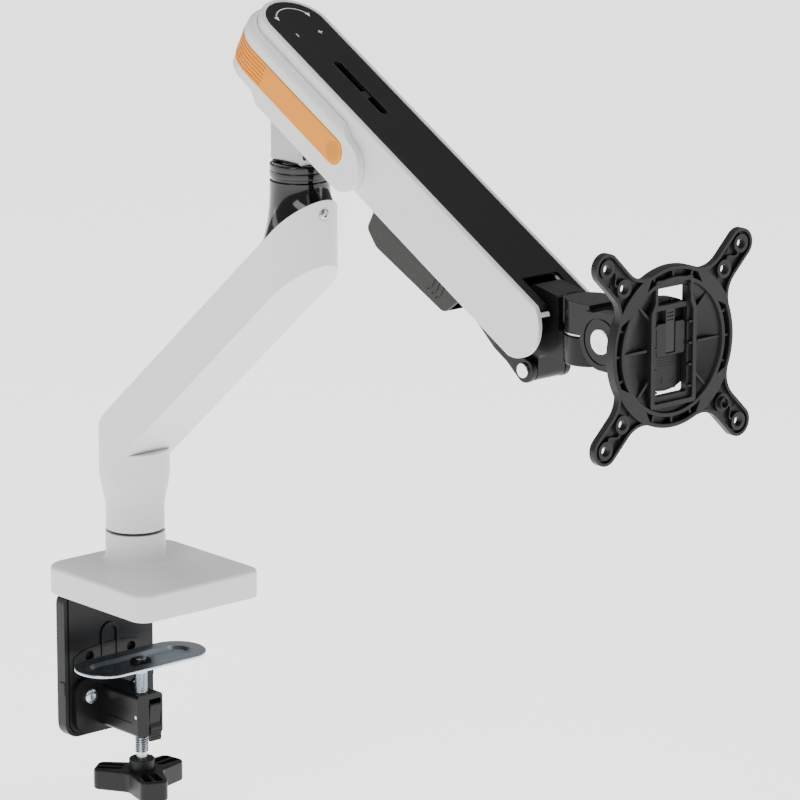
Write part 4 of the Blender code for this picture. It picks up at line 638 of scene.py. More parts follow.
def build_lower_arm():
    hub_low, hub_r, arm_r, depth, edge = 40.6, 18.3, 22.0, 30.0, 7.0
    flare_top = hub_low + 36.5
    normal = Vector((-math.sin(SLOPE), 0, math.cos(SLOPE)))
    top_point = Vector((0, 0, SLOPE_TOP))
    low_point = top_point - normal * depth
    bm = bmesh.new()
    face = bm.faces.new([bm.verts.new((x, y, flare_top)) for x, y in stadium(0, ELBOW_X, arm_r, 48)])
    moved = bmesh.ops.extrude_face_region(bm, geom=[face])["geom"]
    bmesh.ops.translate(bm, vec=(0, 0, 260), verts=[v for v in moved if isinstance(v, bmesh.types.BMVert)])
    for point, direction in ((top_point, normal), (low_point, -normal)):
        cutting = bmesh.ops.bisect_plane(
            bm, geom=bm.verts[:] + bm.edges[:] + bm.faces[:], plane_co=point, plane_no=direction, clear_outer=True)
        rim = [e for e in cutting["geom_cut"] if isinstance(e, bmesh.types.BMEdge)]
        bmesh.ops.holes_fill(bm, edges=rim, sides=0)
    for point, width, steps, start in ((low_point, edge, 8, arm_r), (top_point, 0.9, 3, -60)):
        rim = [e for e in bm.edges
               if all(abs((v.co - point).dot(normal)) < 0.01 for v in e.verts)
               and max(v.co.x for v in e.verts) > start]
        bmesh.ops.bevel(bm, geom=rim, offset=width, segments=steps, profile=0.5,
                        affect="EDGES", clamp_overlap=True, material=-1)
    arm = shape(bm)
    flare = []
    for i in range(17):
        t = i / 16
        flare.append((hub_r + (arm_r - 0.12 - hub_r) * (3 * t * t - 2 * t ** 3), hub_low + 12 + 24.5 * t))
    join(arm, turned([
        (0, hub_low), (hub_r - 0.5, hub_low), (hub_r - 0.12, hub_low + 0.14), (hub_r, hub_low + 0.5), *flare,
        (arm_r - 0.12, flare_top + 14), (0, flare_top + 14),
    ], steps=96))
    start, end = 12.0, (ELBOW_X - arm_r - 7) / math.cos(SLOPE)
    cut(
        arm,
        rod(13.6, hub_low - 1, 100, steps=48),
        rod(13.6, 238, 308, (ELBOW_X, 0, 0), steps=48),
        move(prism(box_outline(start - GAP, end + GAP, -18.8, 18.8, 3.3, 6), -2.7, 5), SLOPE_FRAME),
        move(prism(box_outline(start + 22, end - 16, -12.5, 12.5, 4, 4), -17, 5), SLOPE_FRAME),
        rod(4.0, -0.5, 8, (ELBOW_X + arm_r, 0, 267.5), "X"),
        rod(2.0, -14, 8, (ELBOW_X + arm_r - 2, 0, 267.5), "X"),
    )
    place("lower_arm_skin", arm, finish("white paint"), "lower_arm", ["lower_arm"], sharp=24)
    cover = prism(box_outline(start, end, -18.5, 18.5, 3, 8), -2.4, -0.05)
    soften(cover, 0.35, 2)
    place("cable_cover_skin", cover, finish("white plastic"), "lower_arm", ["cable_cover"], SLOPE_FRAME)
    seat = Matrix.Translation(Vector((ELBOW_X + arm_r - 0.4, 0, 267.5))) @ Matrix.Rotation(math.pi / 2, 4, "Y")
    screw = button_screw(3.3, 1.7, 1.6, 5.2)
    place("elbow_cover_screw_skin", screw, finish("zinc"), "lower_arm", ["elbow_cover_screw"], seat)


def build_elbow():
    steps, levels, top, neck_r = 96, 18, 285.6, 17.8
    rings = []
    for level in range(levels + 1):
        t = level / levels
        ring = []
        for i in range(steps):
            a = 2 * math.pi * i / steps
            foot_r = 22.0 - 1.2 + 5.0 * max(0.0, -math.cos(a)) ** 1.5
            r = neck_r + (foot_r - neck_r) * (1 - t) ** 2.6
            foot_z = SLOPE_TOP + (ELBOW_X + foot_r * math.cos(a)) * math.tan(SLOPE) + GAP
            ring.append((ELBOW_X + r * math.cos(a), r * math.sin(a), foot_z + (top - 0.5 - foot_z) * t))
        rings.append(ring)
    rings.append([(ELBOW_X + (p[0] - ELBOW_X) * 0.97, p[1] * 0.97, top) for p in rings[-1]])
    cover = loft(rings)
    cut(cover, rod(14.4, 206, 296, (ELBOW_X, 0, 0), steps=64))
    place("elbow_cover_skin", cover, finish("black gloss"), "lower_arm", ["elbow_cover"], sharp=40)
    low, high = 285.9, 295.7
    collar = turned([
        (11.3, low), (neck_r - 0.9, low), (neck_r - 0.9, low + 1.4), (neck_r - 0.3, low + 1.7), (neck_r, low + 2.2),
        (neck_r, low + 5.2), (neck_r - 0.35, low + 5.5), (neck_r, low + 5.8), (neck_r, high - 0.9),
        (neck_r - 0.3, high - 0.3), (neck_r - 0.9, high), (11.3, high),
    ], (ELBOW_X, 0, 0), steps=96, ring=True)
    place("elbow_collar_skin", collar, finish("black gloss"), "yoke", ["elbow_collar"], sharp=50)


def build_yoke():
    half_l, half_w, low, thick = 12.7, 11.4, 296.0, 3.0
    cheek = [(ELBOW_X - half_l, low), (ELBOW_X + half_l, low), (ELBOW_X + half_l, PIVOT_Z - 8),
             *arc(ELBOW_X, PIVOT_Z, 11.0, 0, 180, 28), (ELBOW_X - half_l, PIVOT_Z - 8)]
    yoke = prism(cheek, -half_w, half_w, "Y")
    corner = [(y, z) for y, z in rounded([
        (-half_w, low, 2.4), (half_w, low, 2.4), (half_w, PIVOT_Z + 20, 0), (-half_w, PIVOT_Z + 20, 0)], 8)]
    keep(yoke, prism(corner, ELBOW_X - 30, ELBOW_X + 30, "X"))
    inner = half_w - thick
    opening = [(y, z) for y, z in rounded([
        (-inner, low + thick, 1.6), (inner, low + thick, 1.6), (inner, PIVOT_Z + 30, 0), (-inner, PIVOT_Z + 30, 0)], 8)]
    cut(
        yoke,
        prism(opening, ELBOW_X - 30, ELBOW_X + 30, "X"),
        rod(4.3, -30, 30, (ELBOW_X, 0, PIVOT_Z), "Y"),
        rod(3.3, -30, 30, (ELBOW_X, 0, PIVOT_Z - LINK_DROP), "Y"),
        rod(3.5, low - 1, low + 4, (ELBOW_X, 0, 0)),
        rod(2.3, -30, 30, (ELBOW_X, 0, PIVOT_Z - 11), "Y"),
    )
    soften(yoke, 0.3, 2)
    place("yoke_skin", yoke, finish("brushed steel"), "yoke", ["yoke"])


# ---------------------------------------------------------------- upper arm, in the beam's frame

def beam_side(r, centre_x, low, high):
    return [*arc(centre_x, 0, r, low, high, 32)]


def build_shell():
    top, bottom, half, end = 18.2, -20.2, 22.5, REACH
    shell = prism(u_outline(half, end + 30), bottom, top)
    soften(shell, 1.2, 4, angle=60)
    side = [*arc(end, 0, 20.4, -82, 62, 40), (end - 30, top + 20), (-80, top + 20), (-80, -60), (end - 30, -60)]
    keep(shell, prism(side, -60, 60, "Y"))
    soften(shell, 1.1, 4, angle=50)
    inner = half - 2.6
    notch = box_outline(end - 14, end + 30, -13.4, 13.4, 1.2, 5)
    cut(shell, prism(u_outline(inner, end + 60), bottom - 5, top - 4))
    seat = prism(u_outline(19.4 + GAP, end + 60), top - 2.5, top + 6)
    opening = prism(u_outline(13.4, end + 40), top - 6, top - 1)
    cut(shell, seat)
    cut(shell, opening)
    cut(shell, prism(notch, -5, top + 5), rod(6.0, -half - 1, half + 1, (0, 0, 0), "Y"))
    place("arm_shell_skin", shell, finish("white paint"), "upper_arm", ["arm_shell"], ARM_FRAME, sharp=30)


def build_top_cover():
    top, end, half = 18.2, REACH, 19.4
    cover = prism(u_outline(half, end + 30), top - 2.2, top)
    side = [*arc(end, 0, 20.2, -82, 64, 40), (end - 30, top + 20), (-80, top + 20), (-80, -60), (end - 30, -60)]
    soften(cover, 0.5, 3, angle=60)
    keep(cover, prism(side, -60, 60, "Y"))
    slot = stadium(30.2, 75.0, 2.6, 16)
    cut(
        cover,
        prism(box_outline(end - 14, end + 40, -13.4, 13.4, 1.2, 5), 0, 40),
        prism(slot, 0, 40),
    )
    soften(cover, 0.3, 2, angle=50)
    place("top_cover_skin", cover, finish("black cover"), "upper_arm", ["top_cover"], ARM_FRAME)
    rim = prism(stadium(30.2, 75.0, 3.9, 24), top - 0.3, top + 0.18)
    cut(rim, prism(stadium(30.2, 75.0, 2.6, 24), top - 2, top + 2))
    soften(rim, 0.12, 2)
    place("gauge_rim", rim, finish("black gloss"), "upper_arm", (), ARM_FRAME)

    printed, thick, centre = [], 0.05, (-11.3, 0)
    ring = [*arc(*centre, 13.4, 118, 242, 40), *arc(*centre, 12.8, 242, 118, 40)]
    printed.append(prism(ring, top - 0.05, top + thick))
    for degrees in (118, 242):
        x = centre[0] + 13.1 * math.cos(math.radians(degrees))
        y = centre[1] + 13.1 * math.sin(math.radians(degrees))
        away = 1 if degrees < 180 else -1
        printed.append(prism([(x - 0.4, y - 1.6 * away), (x + 3.0, y), (x - 0.4, y + 1.6 * away)][::away],
                             top - 0.05, top + thick))
    for sign, y in ((1, 8.6), (-1, -8.6)):
        printed.append(prism(box_outline(-1.6, 1.6, y - 0.3, y + 0.3), top - 0.05, top + thick))
        if sign > 0:
            printed.append(prism(box_outline(-0.3, 0.3, y - 1.6, y + 1.6), top - 0.04, top + thick + 0.01))
    marks = bundle(*printed)
    place("turning_mark", marks, finish("print"), "upper_arm", (), ARM_FRAME)


def build_housing():
    half, top, shoulder, bottom, rear_bottom, end = 27.5, 6.0, 11.5, -25.0, -20.0, 99.6
    radius, middle = (top - bottom) / 2, (top + bottom) / 2
    shoulder_loops = [(half, bottom), (half, top)]
    for i in range(1, 9):
        t = i / 8
        shoulder_loops.append((half - (half - 23.0) * (1 - math.cos(t * math.pi / 2)), top + (shoulder - top) * math.sin(t * math.pi / 2)))
    housing = loft([[(x, y, z) for x, y in u_outline(r, end + 60)] for r, z in shoulder_loops])
    side = [
        *arc(end - radius, middle, radius, -90, 90, 40),
        *[(end - radius - 14 * t, top + (shoulder - top) * (t * t * (3 - 2 * t))) for t in [i / 10 for i in range(1, 11)]],
        (-80, shoulder + 10), (-80, rear_bottom), (-2.0, rear_bottom), (6.0, bottom),
    ]
    keep(housing, prism(side, -60, 60, "Y"))
    soften(housing, 1.3, 4, angle=45)
    cut(housing, prism(u_outline(22.8, end + 100), -60, 60))
    band_half, band_middle, band_end = 8.0, -6.2, 82.4

    def band_side(grow):
        r = band_half + grow
        return [*arc(band_end - band_half, band_middle, r, -90, 90, 28), (-90, band_middle + r), (-90, band_middle - r)]

    groove = prism(u_outline(half + 5, end + 60), -60, 60)
    keep(groove, prism(band_side(GAP), -60, 60, "Y"))
    cut(groove, prism(u_outline(half - 1.6, end + 100), -70, 70))
    cut(housing, groove)
    place("rear_housing_skin", housing, finish("white paint"), "upper_arm", ["rear_housing"], ARM_FRAME, sharp=30)

    band = prism(u_outline(half + 0.5, end + 60, steps=64), -60, 60)
    keep(band, prism(band_side(0), -60, 60, "Y"))
    soften(band, 0.4, 3, angle=60)
    cut(band, prism(u_outline(half - 1.3, end + 100, steps=64), -70, 70))
    count = bpy.context.scene.monitor_arm_sizes.groove_count
    span = 2 * band_half - 4.4
    for i in range(count):
        z = band_middle - span / 2 + span * i / max(1, count - 1)
        rear = prism(u_outline(half + 3, 4.0), z - 0.34, z + 0.34)
        cut(rear, prism(u_outline(half - 0.05, 8), -60, 60))
        cut(band, rear)
    place("orange_band_skin", band, finish("orange plastic"), "upper_arm", ["orange_band"], ARM_FRAME, sharp=35)

    # Flat discs on each side of the band, darker orange as painted shade standing in for moulded dimples.
    dots = []
    for row in range(-4, 5):
        for column in range(-4, 5):
            x, z = 74.6 + column * 1.5 + (row % 2) * 0.75, band_middle + row * 1.3
            if math.hypot(x - 74.6, z - band_middle) < 5.9:
                for side_y in (-1, 1):
                    face_y = side_y * (half + 0.5)
                    dots.append(rod(0.42, min(face_y, face_y + side_y * 0.03) - 0.02,
                                    max(face_y, face_y + side_y * 0.03), (x, 0, z), "Y", steps=10))
    place("band_dots", bundle(*dots), finish("painted dimple shade"), "upper_arm", (), ARM_FRAME)


# ---------------------------------------------------------------- lower link and head

def build_clip():
    along, across = LINK_DROP * math.sin(PITCH), LINK_DROP * math.cos(PITCH)
    start, end = 105.0 - along, 190.0 - along
    rim, deep, shallow = -22.5 + across, -47.0 + across, -43.5 + across
    inner, wall = 8.3, 2.0
    side = rounded([
        (start, rim, 2), (start, deep + 5, 4), (start + 12, deep, 8), (end - 8, shallow, 6), (end, rim - 4, 3),
        (end - 3, rim, 1),
    ], 8)
    clip = prism(side, -inner - wall, inner + wall, "Y")
    soften(clip, 0.8, 4, angle=60)
    cut(clip, prism([
        (start - 5, deep + 5), (start + 12, deep + wall), (end - 8, shallow + wall),
        (end + 5, shallow + 5), (end + 5, rim + 5), (start - 5, rim + 5),
    ], -inner, inner, "Y"))
    for i in range(3):
        x = end - 15 - 4.2 * i
        groove = [(x, rim - 4), (x + 0.9, rim - 4), (x + 0.9, shallow + 6.6), (x - 2.2, shallow + 3.6),
                  (x - 2.9, shallow + 4.3), (x, shallow + 7.2)]
        for side_y in (-1, 1):
            low, high = sorted((side_y * (inner + wall - 0.4), side_y * (inner + wall + 1)))
            cut(clip, prism(groove, low, high, "Y"))
    place("cable_clip_skin", clip, finish("grey plastic"), "link", ["cable_clip"], LINK_FRAME, sharp=32)


def build_link():
    end, depth, half, rear_half = REACH, 4.0, 14.6, 8.0
    side = [
        *arc(end, 0, 7.3, -100, 80, 24), (end - 14, depth), (14, depth),
        *arc(0, 0, 6.5, 80, 280, 28), (14, -depth), (end - 14, -depth - 1),
    ]
    taper, wide = end - 60, end - 26
    plan = rounded([
        (-20, -rear_half, 0), (taper, -rear_half, 30), (wide, -half, 14), (end + 20, -half, 0),
        (end + 20, half, 0), (wide, half, 14), (taper, rear_half, 30), (-20, rear_half, 0),
    ], 8)
    link = prism(side, -half - 1, half + 1, "Y")
    keep(link, prism(plan, -20, 20))
    inner = rear_half - 2.2
    cut(
        link,
        prism(box_outline(14, taper, -depth + 2, 30), -inner, inner, "Y"),
        prism(box_outline(-30, 12, -30, 30), -inner, inner, "Y"),
        prism(box_outline(end - 22, end + 30, -30, 30), -10.9, 10.9, "Y"),
        rod(3.3, -30, 30, (0, 0, 0), "Y"),
        rod(3.6, -30, 30, (end, 0, 0), "Y"),
    )
    soften(link, 0.5, 3)
    place("lower_link_skin", link, finish("black paint"), "link", ["lower_link"], LINK_FRAME)


def head_points():
    pivot = Vector((ELBOW_X + REACH * math.cos(PITCH), PIVOT_Z - REACH * math.sin(PITCH)))
    return pivot, Vector((pivot.x, pivot.y - LINK_DROP))


def build_head():
    pivot, link = head_points()
    eye, low, high = 10.0, 221.5, 238.0
    outline = rounded([
        (pivot.x - eye, pivot.y - 8, 5), (link.x - 6.4, link.y + 3, 4), (link.x - 6.4, link.y - 6.4, 5),
        (link.x + 6.4, link.y - 6.4, 5), (link.x + 7.5, low, 3), (398.5, low, 0),
        (398.5, high, 0), (394.5, high, 0), (394.5, 257.1, 1.0), (pivot.x + 2, 260.5, 3), (pivot.x - eye, pivot.y + 8, 6),
    ], 8)
    head = prism(outline, -10.3, 10.3, "Y")
    join(
        head,
        rod(eye, -15.7, 15.7, (pivot.x, 0, pivot.y), "Y"),
        rod(14.5, low - 0.4, high - 0.2, (PAN_X, 0, 0), steps=72, edge=1.0),
    )
    cut(
        head,
        rod(4.3, -40, 40, (pivot.x, 0, pivot.y), "Y"),
        rod(3.3, -40, 40, (link.x, 0, link.y), "Y"),
        rod(5.3, low - 5, high + 5, (PAN_X, 0, 0)),
        rod(16.0, high, 269.5, (PAN_X, 0, 0), steps=72),
    )
    soften(head, 0.7, 3)
    place("head_bracket_skin", head, finish("black paint"), "head", ["head_bracket"])
    low, high, cap, shank = 14.9, 16.3, 4.3, 3.0
    pin = turned([
        (0, -high), (cap - 0.5, -high), (cap - 0.15, -high + 0.15), (cap, -high + 0.5), (cap, -low), (shank, -low),
        (shank, low), (cap, low), (cap, high - 0.5), (cap - 0.15, high - 0.15), (cap - 0.5, high), (0, high),
    ], (link.x, 0, link.y), "Y")
    place("link_front_pin_skin", pin, finish("spun aluminium"), "head", ["link_front_pin"])
    washer = turned([(5.3, 238.0), (14.0, 238.0), (14.3, 238.3), (14.3, 239.1), (14.0, 239.4), (5.3, 239.4)],
                    (PAN_X, 0, 0), steps=72, ring=True)
    place("pan_washer_skin", washer, finish("zinc"), "head", ["pan_washer"])


def build_swivel():
    low, top, half, edge_x, tongue = 239.7, 257.4, 14.0, 423.4, 14.6
    block = prism([(edge_x, -half), (edge_x, half), *arc(PAN_X, 0, half, 90, 270, 40)], low, top)
    neck = [
        (TILT_X - 20.3, TILT_Z - 9.5), (TILT_X, TILT_Z - 12.5), *arc(TILT_X, TILT_Z, 12.5, -90, 90, 30),
        (TILT_X - 20.3, top - 3),
    ]
    join(block, prism(neck, -tongue, tongue, "Y"))
    cut(
        block,
        rod(5.3, low - 1, top - 5, (PAN_X, 0, 0)),
        rod(4.8, -30, 30, (TILT_X, 0, TILT_Z), "Y"),
        rod(15.3, 211, low - 0.05, (PAN_X, 0, 0), steps=72),
    )
    soften(block, 0.9, 4)
    place("swivel_block_skin", block, finish("black paint"), "swivel", ["swivel_block"])


def build_fork():
    back, radius, half = 461.7, 16.3, 22.6
    outline = [
        *arc(TILT_X, TILT_Z, radius, 90, 270, 40), (back - 5, TILT_Z - radius), (back, TILT_Z - radius - 3),
        (back, TILT_Z + radius + 3), (back - 5, TILT_Z + radius),
    ]
    fork = prism(outline, -half, half, "Y")
    room, inner = 13.7, 15.0
    groove = [tube(12.1, 13.2, side * half - 0.7, side * half + 0.7, (TILT_X, 0, TILT_Z), "Y", 72) for side in (-1, 1)]
    cut(
        fork,
        prism(box_outline(TILT_X - 40, TILT_X + room, TILT_Z - 40, TILT_Z + 40), -inner, inner, "Y"),
        rod(4.8, -40, 40, (TILT_X, 0, TILT_Z), "Y"),
        rod(7.5, -30, -20.3, (TILT_X, 0, TILT_Z), "Y"),
        rod(7.5, 20.3, 30, (TILT_X, 0, TILT_Z), "Y"),
        rod(6.0, TILT_X + room - 2, back + 2, (0, 0, TILT_Z), "X"),
    )
    soften(fork, 0.9, 4)
    cut(fork, *groove)
    place("tilt_fork_skin", fork, finish("black paint"), "fork", ["tilt_fork"], sharp=40)
    for label, side in (("near", -1), ("far", 1)):
        profile = [(0, 0.25), (1.2, 0.12), (2.2, 0.3), (6.2, 0.55), (6.9, 0.4), (7.2, 0), (7.2, -2.4), (0, -2.4)]
        cap = turned([(r, h * side) for r, h in profile], (TILT_X, side * (half + 0.3), TILT_Z), "Y", 72)
        place(f"tilt_cap_{label}_skin", cap, finish("spun aluminium"), "fork", [f"tilt_cap_{label}"])


# ---------------------------------------------------------------- monitor plate

def plate_prism(points, low, high):
    """A prism across the plate, its points given from the plate's centre."""
    return prism([(a, b + TILT_Z) for a, b in points], low, high, "X")


def turn_about_plate(item, degrees):
    centre = Vector((0, 0, TILT_Z))
    turn = Matrix.Translation(centre) @ Matrix.Rotation(math.radians(degrees), 4, "X") @ Matrix.Translation(-centre)
    return move(item, turn)


def build_carrier():
    low, high, face = 462.1, 468.7, 472.6
    carrier = turned([
        (0, 455.3), (5.6, 455.3), (5.6, low), (25.5, low), (26, low + 0.5), (26, high - 0.5), (25.5, high), (0, high),
    ], (0, 0, TILT_Z), "X", 96)
    join(carrier, plate_prism(box_outline(-10.5, 10.5, -5, 13, 1.5, 6), high - 1, face))
    cut(carrier, plate_prism(box_outline(-3.6, 3.6, -4, 25), high - 0.9, face + 1))
    join(carrier, plate_prism(box_outline(-8, 8, -25, -6, 1.2, 4), high - 0.5, high + 0.3))
    for y in (-4.2, 4.2):
        cut(carrier, rod(2.0, high + 0.1, high + 3, (0, y, TILT_Z - 19), "X", 24))
    for i in range(5):
        z = -9.5 + i * 1.6 - 2
        cut(carrier, plate_prism(box_outline(-6, 6, z - 0.25, z + 0.25), high + 0.1, high + 3))
    soften(carrier, 0.3, 2)
    place("plate_carrier_skin", carrier, finish("black moulding"), "carrier", ["plate_carrier"])
    latch = plate_prism(box_outline(-3.2, 3.2, -3.6, 22, 0.8, 4), 468.1, 472.2)
    for z in (14.5, 16.5, 18.5):
        cut(latch, plate_prism(box_outline(-2.4, 2.4, z - 0.4, z + 0.4), 471.6, 474))
    soften(latch, 0.3, 2)
    place("plate_latch_skin", latch, finish("grey plastic"), "latch", ["plate_latch"])


def build_plate():
    face, thick = PLATE_FACE, 6.4
    low = face - thick
    floor = low + 2.0
    centre = (0, 0, TILT_Z)
    outer, inner, wall = 45.0, 36.5, 2.4
    plate = turned([
        (0, low), (outer - 0.4, low), (outer, low + 0.4), (outer, face - 0.4), (outer - 0.4, face),
        (outer - wall + 0.3, face), (outer - wall, face - 0.3), (outer - wall, floor),
        (inner + wall, floor), (inner + wall, face - 0.3), (inner + wall - 0.3, face), (inner + 0.3, face),
        (inner, face - 0.3), (inner - 0.4, face - 2.2), (33.4, face - 2.6), (26.4, low + 1.5), (0, low + 1.5),
    ], centre, "X", 128)
    # Ribs in the groove and on the sloping floor
    for degrees in (0, 20, 70, 90, 110, 160, 180, 200, 225, 250, 270, 290, 315, 340):
        rib = plate_prism(box_outline(inner + 1, outer - 1, -0.7, 0.7), floor - 0.5, face - 1.4)
        join(plate, turn_about_plate(rib, degrees))
    for degrees in (0, 180, 90, 45, 135, 225, 315):
        rib = plate_prism(box_outline(19, inner + 1, -0.7, 0.7), low + 1.0, face - 1.6)
        join(plate, turn_about_plate(rib, degrees))
    # Four arms, each a tray with a rim, a boss round each screw hole and a winding rib between
    far, near = 100 / math.sqrt(2), 75 / math.sqrt(2)
    arm_half, start = 8.5, inner + 1.2
    for i, degrees in enumerate((45, 135, 225, 315)):
        lift = 0.01 * (i + 1)
        def arm_outline(inset):
            """The arm's outline with the fillets where it flows into the ring."""
            fillet = 16.0 + inset
            across = arm_half - inset + fillet
            along = math.sqrt((outer - 0.3 - inset + fillet) ** 2 - across ** 2)
            lean = math.degrees(math.atan2(across, along))
            root = start + inset
            return [(root, arm_half - inset), (root, -arm_half + inset), *arc(along, -across, fillet, 180 - lean, 90, 14),
                    *arc(far, 0, arm_half - inset, -90, 90, 28), *arc(along, across, fillet, 270, 180 + lean, 14)]

        arm = plate_prism(arm_outline(0.0), face - 4.2, face - lift)
        tray = plate_prism(arm_outline(1.7), face - 2.4, face + 3)
        keep(tray, tube(outer + 0.4, far + 20, face - 3, face + 4, (0, 0, TILT_Z), "X", 128))
        cut(arm, tray)
        for middle in (far, near):
            join(arm, rod(5.2, face - 3, face - 0.05 - lift, (0, middle, TILT_Z), "X", 40))
        winding = []
        for k in range(13):
            t = k / 12
            winding.append((near + 3.5 + (far - near - 7) * t, 2.6 * math.sin(2 * math.pi * t)))
        ribbon = [(x, y + 0.55) for x, y in winding] + [(x, y - 0.55) for x, y in reversed(winding)]
        join(arm, plate_prism(ribbon[::-1], face - 3, face - 0.3 - lift))
        for dot_x, dot_y in ((outer + 1.5, 0.0), (far - 8.8, 5.0)):
            cut(arm, rod(1.6, face - 2.9, face - 1, (0, dot_x, TILT_Z + dot_y), "X", 24))
        for middle in (far, near):
            cut(arm, rod(2.6, low - 2, face + 2, (0, middle, TILT_Z), "X", 32),
                turned([(2.6, face - 0.6), (3.3, face + 0.1), (3.3, face + 2), (2.0, face + 2), (2.0, face - 0.6)],
                       (0, middle, TILT_Z), "X", 32, ring=True))
        turn_about_plate(arm, degrees)
        join(plate, arm)
        for size in (far, near):
            hole = rod(2.6, low - 2, face + 2, (0, size, TILT_Z), "X", 32)
            cut(plate, turn_about_plate(hole, degrees))
    # Frame round the window, with its inner rails
    frame_outline = rounded([(-17, -33, 2), (17, -33, 2), (17, 20, 4), (14, 26, 3), (14, 38, 2),
                             (-14, 38, 2), (-14, 26, 3), (-17, 20, 4)], 6)
    join(plate, plate_prism(frame_outline, low + 0.2, face - 0.15))
    step = rounded([(-14.4, -30.4, 1.5), (14.4, -30.4, 1.5), (14.4, 19, 2), (12.2, 24, 2), (12.2, 35.6, 1.2),
                    (-12.2, 35.6, 1.2), (-12.2, 24, 2), (-14.4, 19, 2)], 4)
    cut(plate, plate_prism(step, face - 2.2, face + 2))
    window = box_outline(-11.6, 11.6, -27, 33, 1.5, 5)
    cut(plate, plate_prism(window, low - 2, face + 2))
    for side in (-1, 1):
        for z in (-24, -12, 0, 12):
            low_y, high_y = sorted((side * 11.8, side * 14.6))
            join(plate, plate_prism(box_outline(low_y, high_y, z - 0.6, z + 0.6), face - 2.6, face - 0.6))
    bridge = plate_prism(box_outline(-12.2, 12.2, 20.5, 23.2), low + 1.0, face - 2.4)
    join(plate, bridge)
    soften(plate, 0.18, 1, angle=50)
    place("monitor_plate_skin", plate, finish("black nylon"), "plate", ["monitor_plate"])


# ---------------------------------------------------------------- what stays from the frame

PLAIN_FINISHES = {
    "pad_foam": "pad foam", "black_paint": "black paint", "zinc": "zinc", "brushed_steel": "brushed steel",
    "white_paint": "white paint", "black_nylon": "black nylon", "bush_plastic": "bush plastic",
    "black_gloss": "black gloss", "black_cover": "black cover", "orange_plastic": "orange plastic",
    "grey_plastic": "grey plastic", "white_plastic": "white plastic", "spun_aluminium": "spun aluminium",
}


def finish_frame():
    """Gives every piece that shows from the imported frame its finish."""
    for name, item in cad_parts.items():
        if item.hide_render or item.type != "MESH":
            continue
        old = [slot.material.name for slot in item.material_slots if slot.material]
        label = "black_nylon" if name == "tension_nut" else (old[0].split(".")[0] if old else "black_paint")
        made = finish(PLAIN_FINISHES.get(label, "black paint"))
        if not item.material_slots:
            item.data.materials.append(made)
        for slot in item.material_slots:
            slot.material = made


def build_stage():
    bm = bmesh.new()
    bmesh.ops.create_grid(bm, x_segments=1, y_segments=1, size=6.0)
    bmesh.ops.translate(bm, vec=(0, 0, -0.15), verts=bm.verts)
    mesh = bpy.data.meshes.new("floor")
    bm.to_mesh(mesh)
    bm.free()
    floor = bpy.data.objects.new("floor", mesh)
    bpy.context.scene.collection.objects.link(floor)
    pale = bpy.data.materials.new("pale floor")
    pale.use_nodes = True
    pale.node_tree.nodes["Principled BSDF"].inputs["Base Color"].default_value = (0.9, 0.9, 0.9, 1)
    pale.node_tree.nodes["Principled BSDF"].inputs["Roughness"].default_value = 0.9
    pale.node_tree.nodes["Principled BSDF"].inputs["Emission Color"].default_value = (1, 1, 1, 1)
    pale.node_tree.nodes["Principled BSDF"].inputs["Emission Strength"].default_value = 2.0
    mesh.materials.append(pale)

    lamps = (
        ("key", (0.9, -1.9, 1.5), (0.15, 0, 0.22), 0.9, 1.6, 22),
        ("left", (-1.5, -0.9, 0.9), (0.1, 0, 0.2), 0.5, 1.8, 5),
        ("right", (1.7, 1.5, 0.9), (0.2, 0, 0.2), 0.5, 1.8, 8),
        ("top", (0.1, 0.2, 2.0), (0.15, 0, 0.2), 1.2, 1.2, 16),
    )
    for label, spot, aim, wide, tall, power in lamps:
        light = bpy.data.lights.new(label, "AREA")
        light.shape = "RECTANGLE"
        light.size = wide
        light.size_y = tall
        light.energy = power
        lamp = bpy.data.objects.new(label, light)
        bpy.context.scene.collection.objects.link(lamp)
        lamp.location = spot
        lamp.rotation_euler = (Vector(aim) - Vector(spot)).to_track_quat("-Z", "Y").to_euler()
    world = bpy.data.worlds.new("studio")
    world.use_nodes = True
    world.node_tree.nodes["Background"].inputs["Color"].default_value = (1, 1, 1, 1)
    world.node_tree.nodes["Background"].inputs["Strength"].default_value = 0.3
    bpy.context.scene.world = world

    lens = bpy.data.cameras.new("camera")
    lens.lens = 225
    lens.sensor_width = 36
    camera = bpy.data.objects.new("camera", lens)
    bpy.context.scene.collection.objects.link(camera)
    camera.location = (2.35983, -1.83969, 0.87619)
    camera.rotation_euler = (math.radians(75.8214), 0, math.radians(48.9152))
    bpy.context.scene.camera = camera


# ---------------------------------------------------------------- operators and panel

class MONITORARM_OT_base(bpy.types.Operator):
    """Build the base cover and the ring at the column's foot"""
    bl_idname = "monitor_arm.base"
    bl_label = "Build Base"

    def execute(self, context):
        build_base_cover()
        return {"FINISHED"}


class MONITORARM_OT_clamp(bpy.types.Operator):
    """Build the rear bracket, the clamp arm, the pressure plate, the screw and the knob"""
    bl_idname = "monitor_arm.clamp"
    bl_label = "Build Desk Clamp"

    def execute(self, context):
        build_bracket()
        build_clamp_arm()
        build_foot_and_screw()
        build_knob()
        return {"FINISHED"}


class MONITORARM_OT_lower_arm(bpy.types.Operator):
    """Build the lower arm, its cable cover and the elbow"""
    bl_idname = "monitor_arm.lower_arm"
    bl_label = "Build Lower Arm"

    def execute(self, context):
        build_lower_arm()
        build_elbow()
        return {"FINISHED"}


class MONITORARM_OT_yoke(bpy.types.Operator):
    """Build the steel yoke that carries the upper arm"""
    bl_idname = "monitor_arm.yoke"
    bl_label = "Build Yoke"

    def execute(self, context):
        build_yoke()
        return {"FINISHED"}


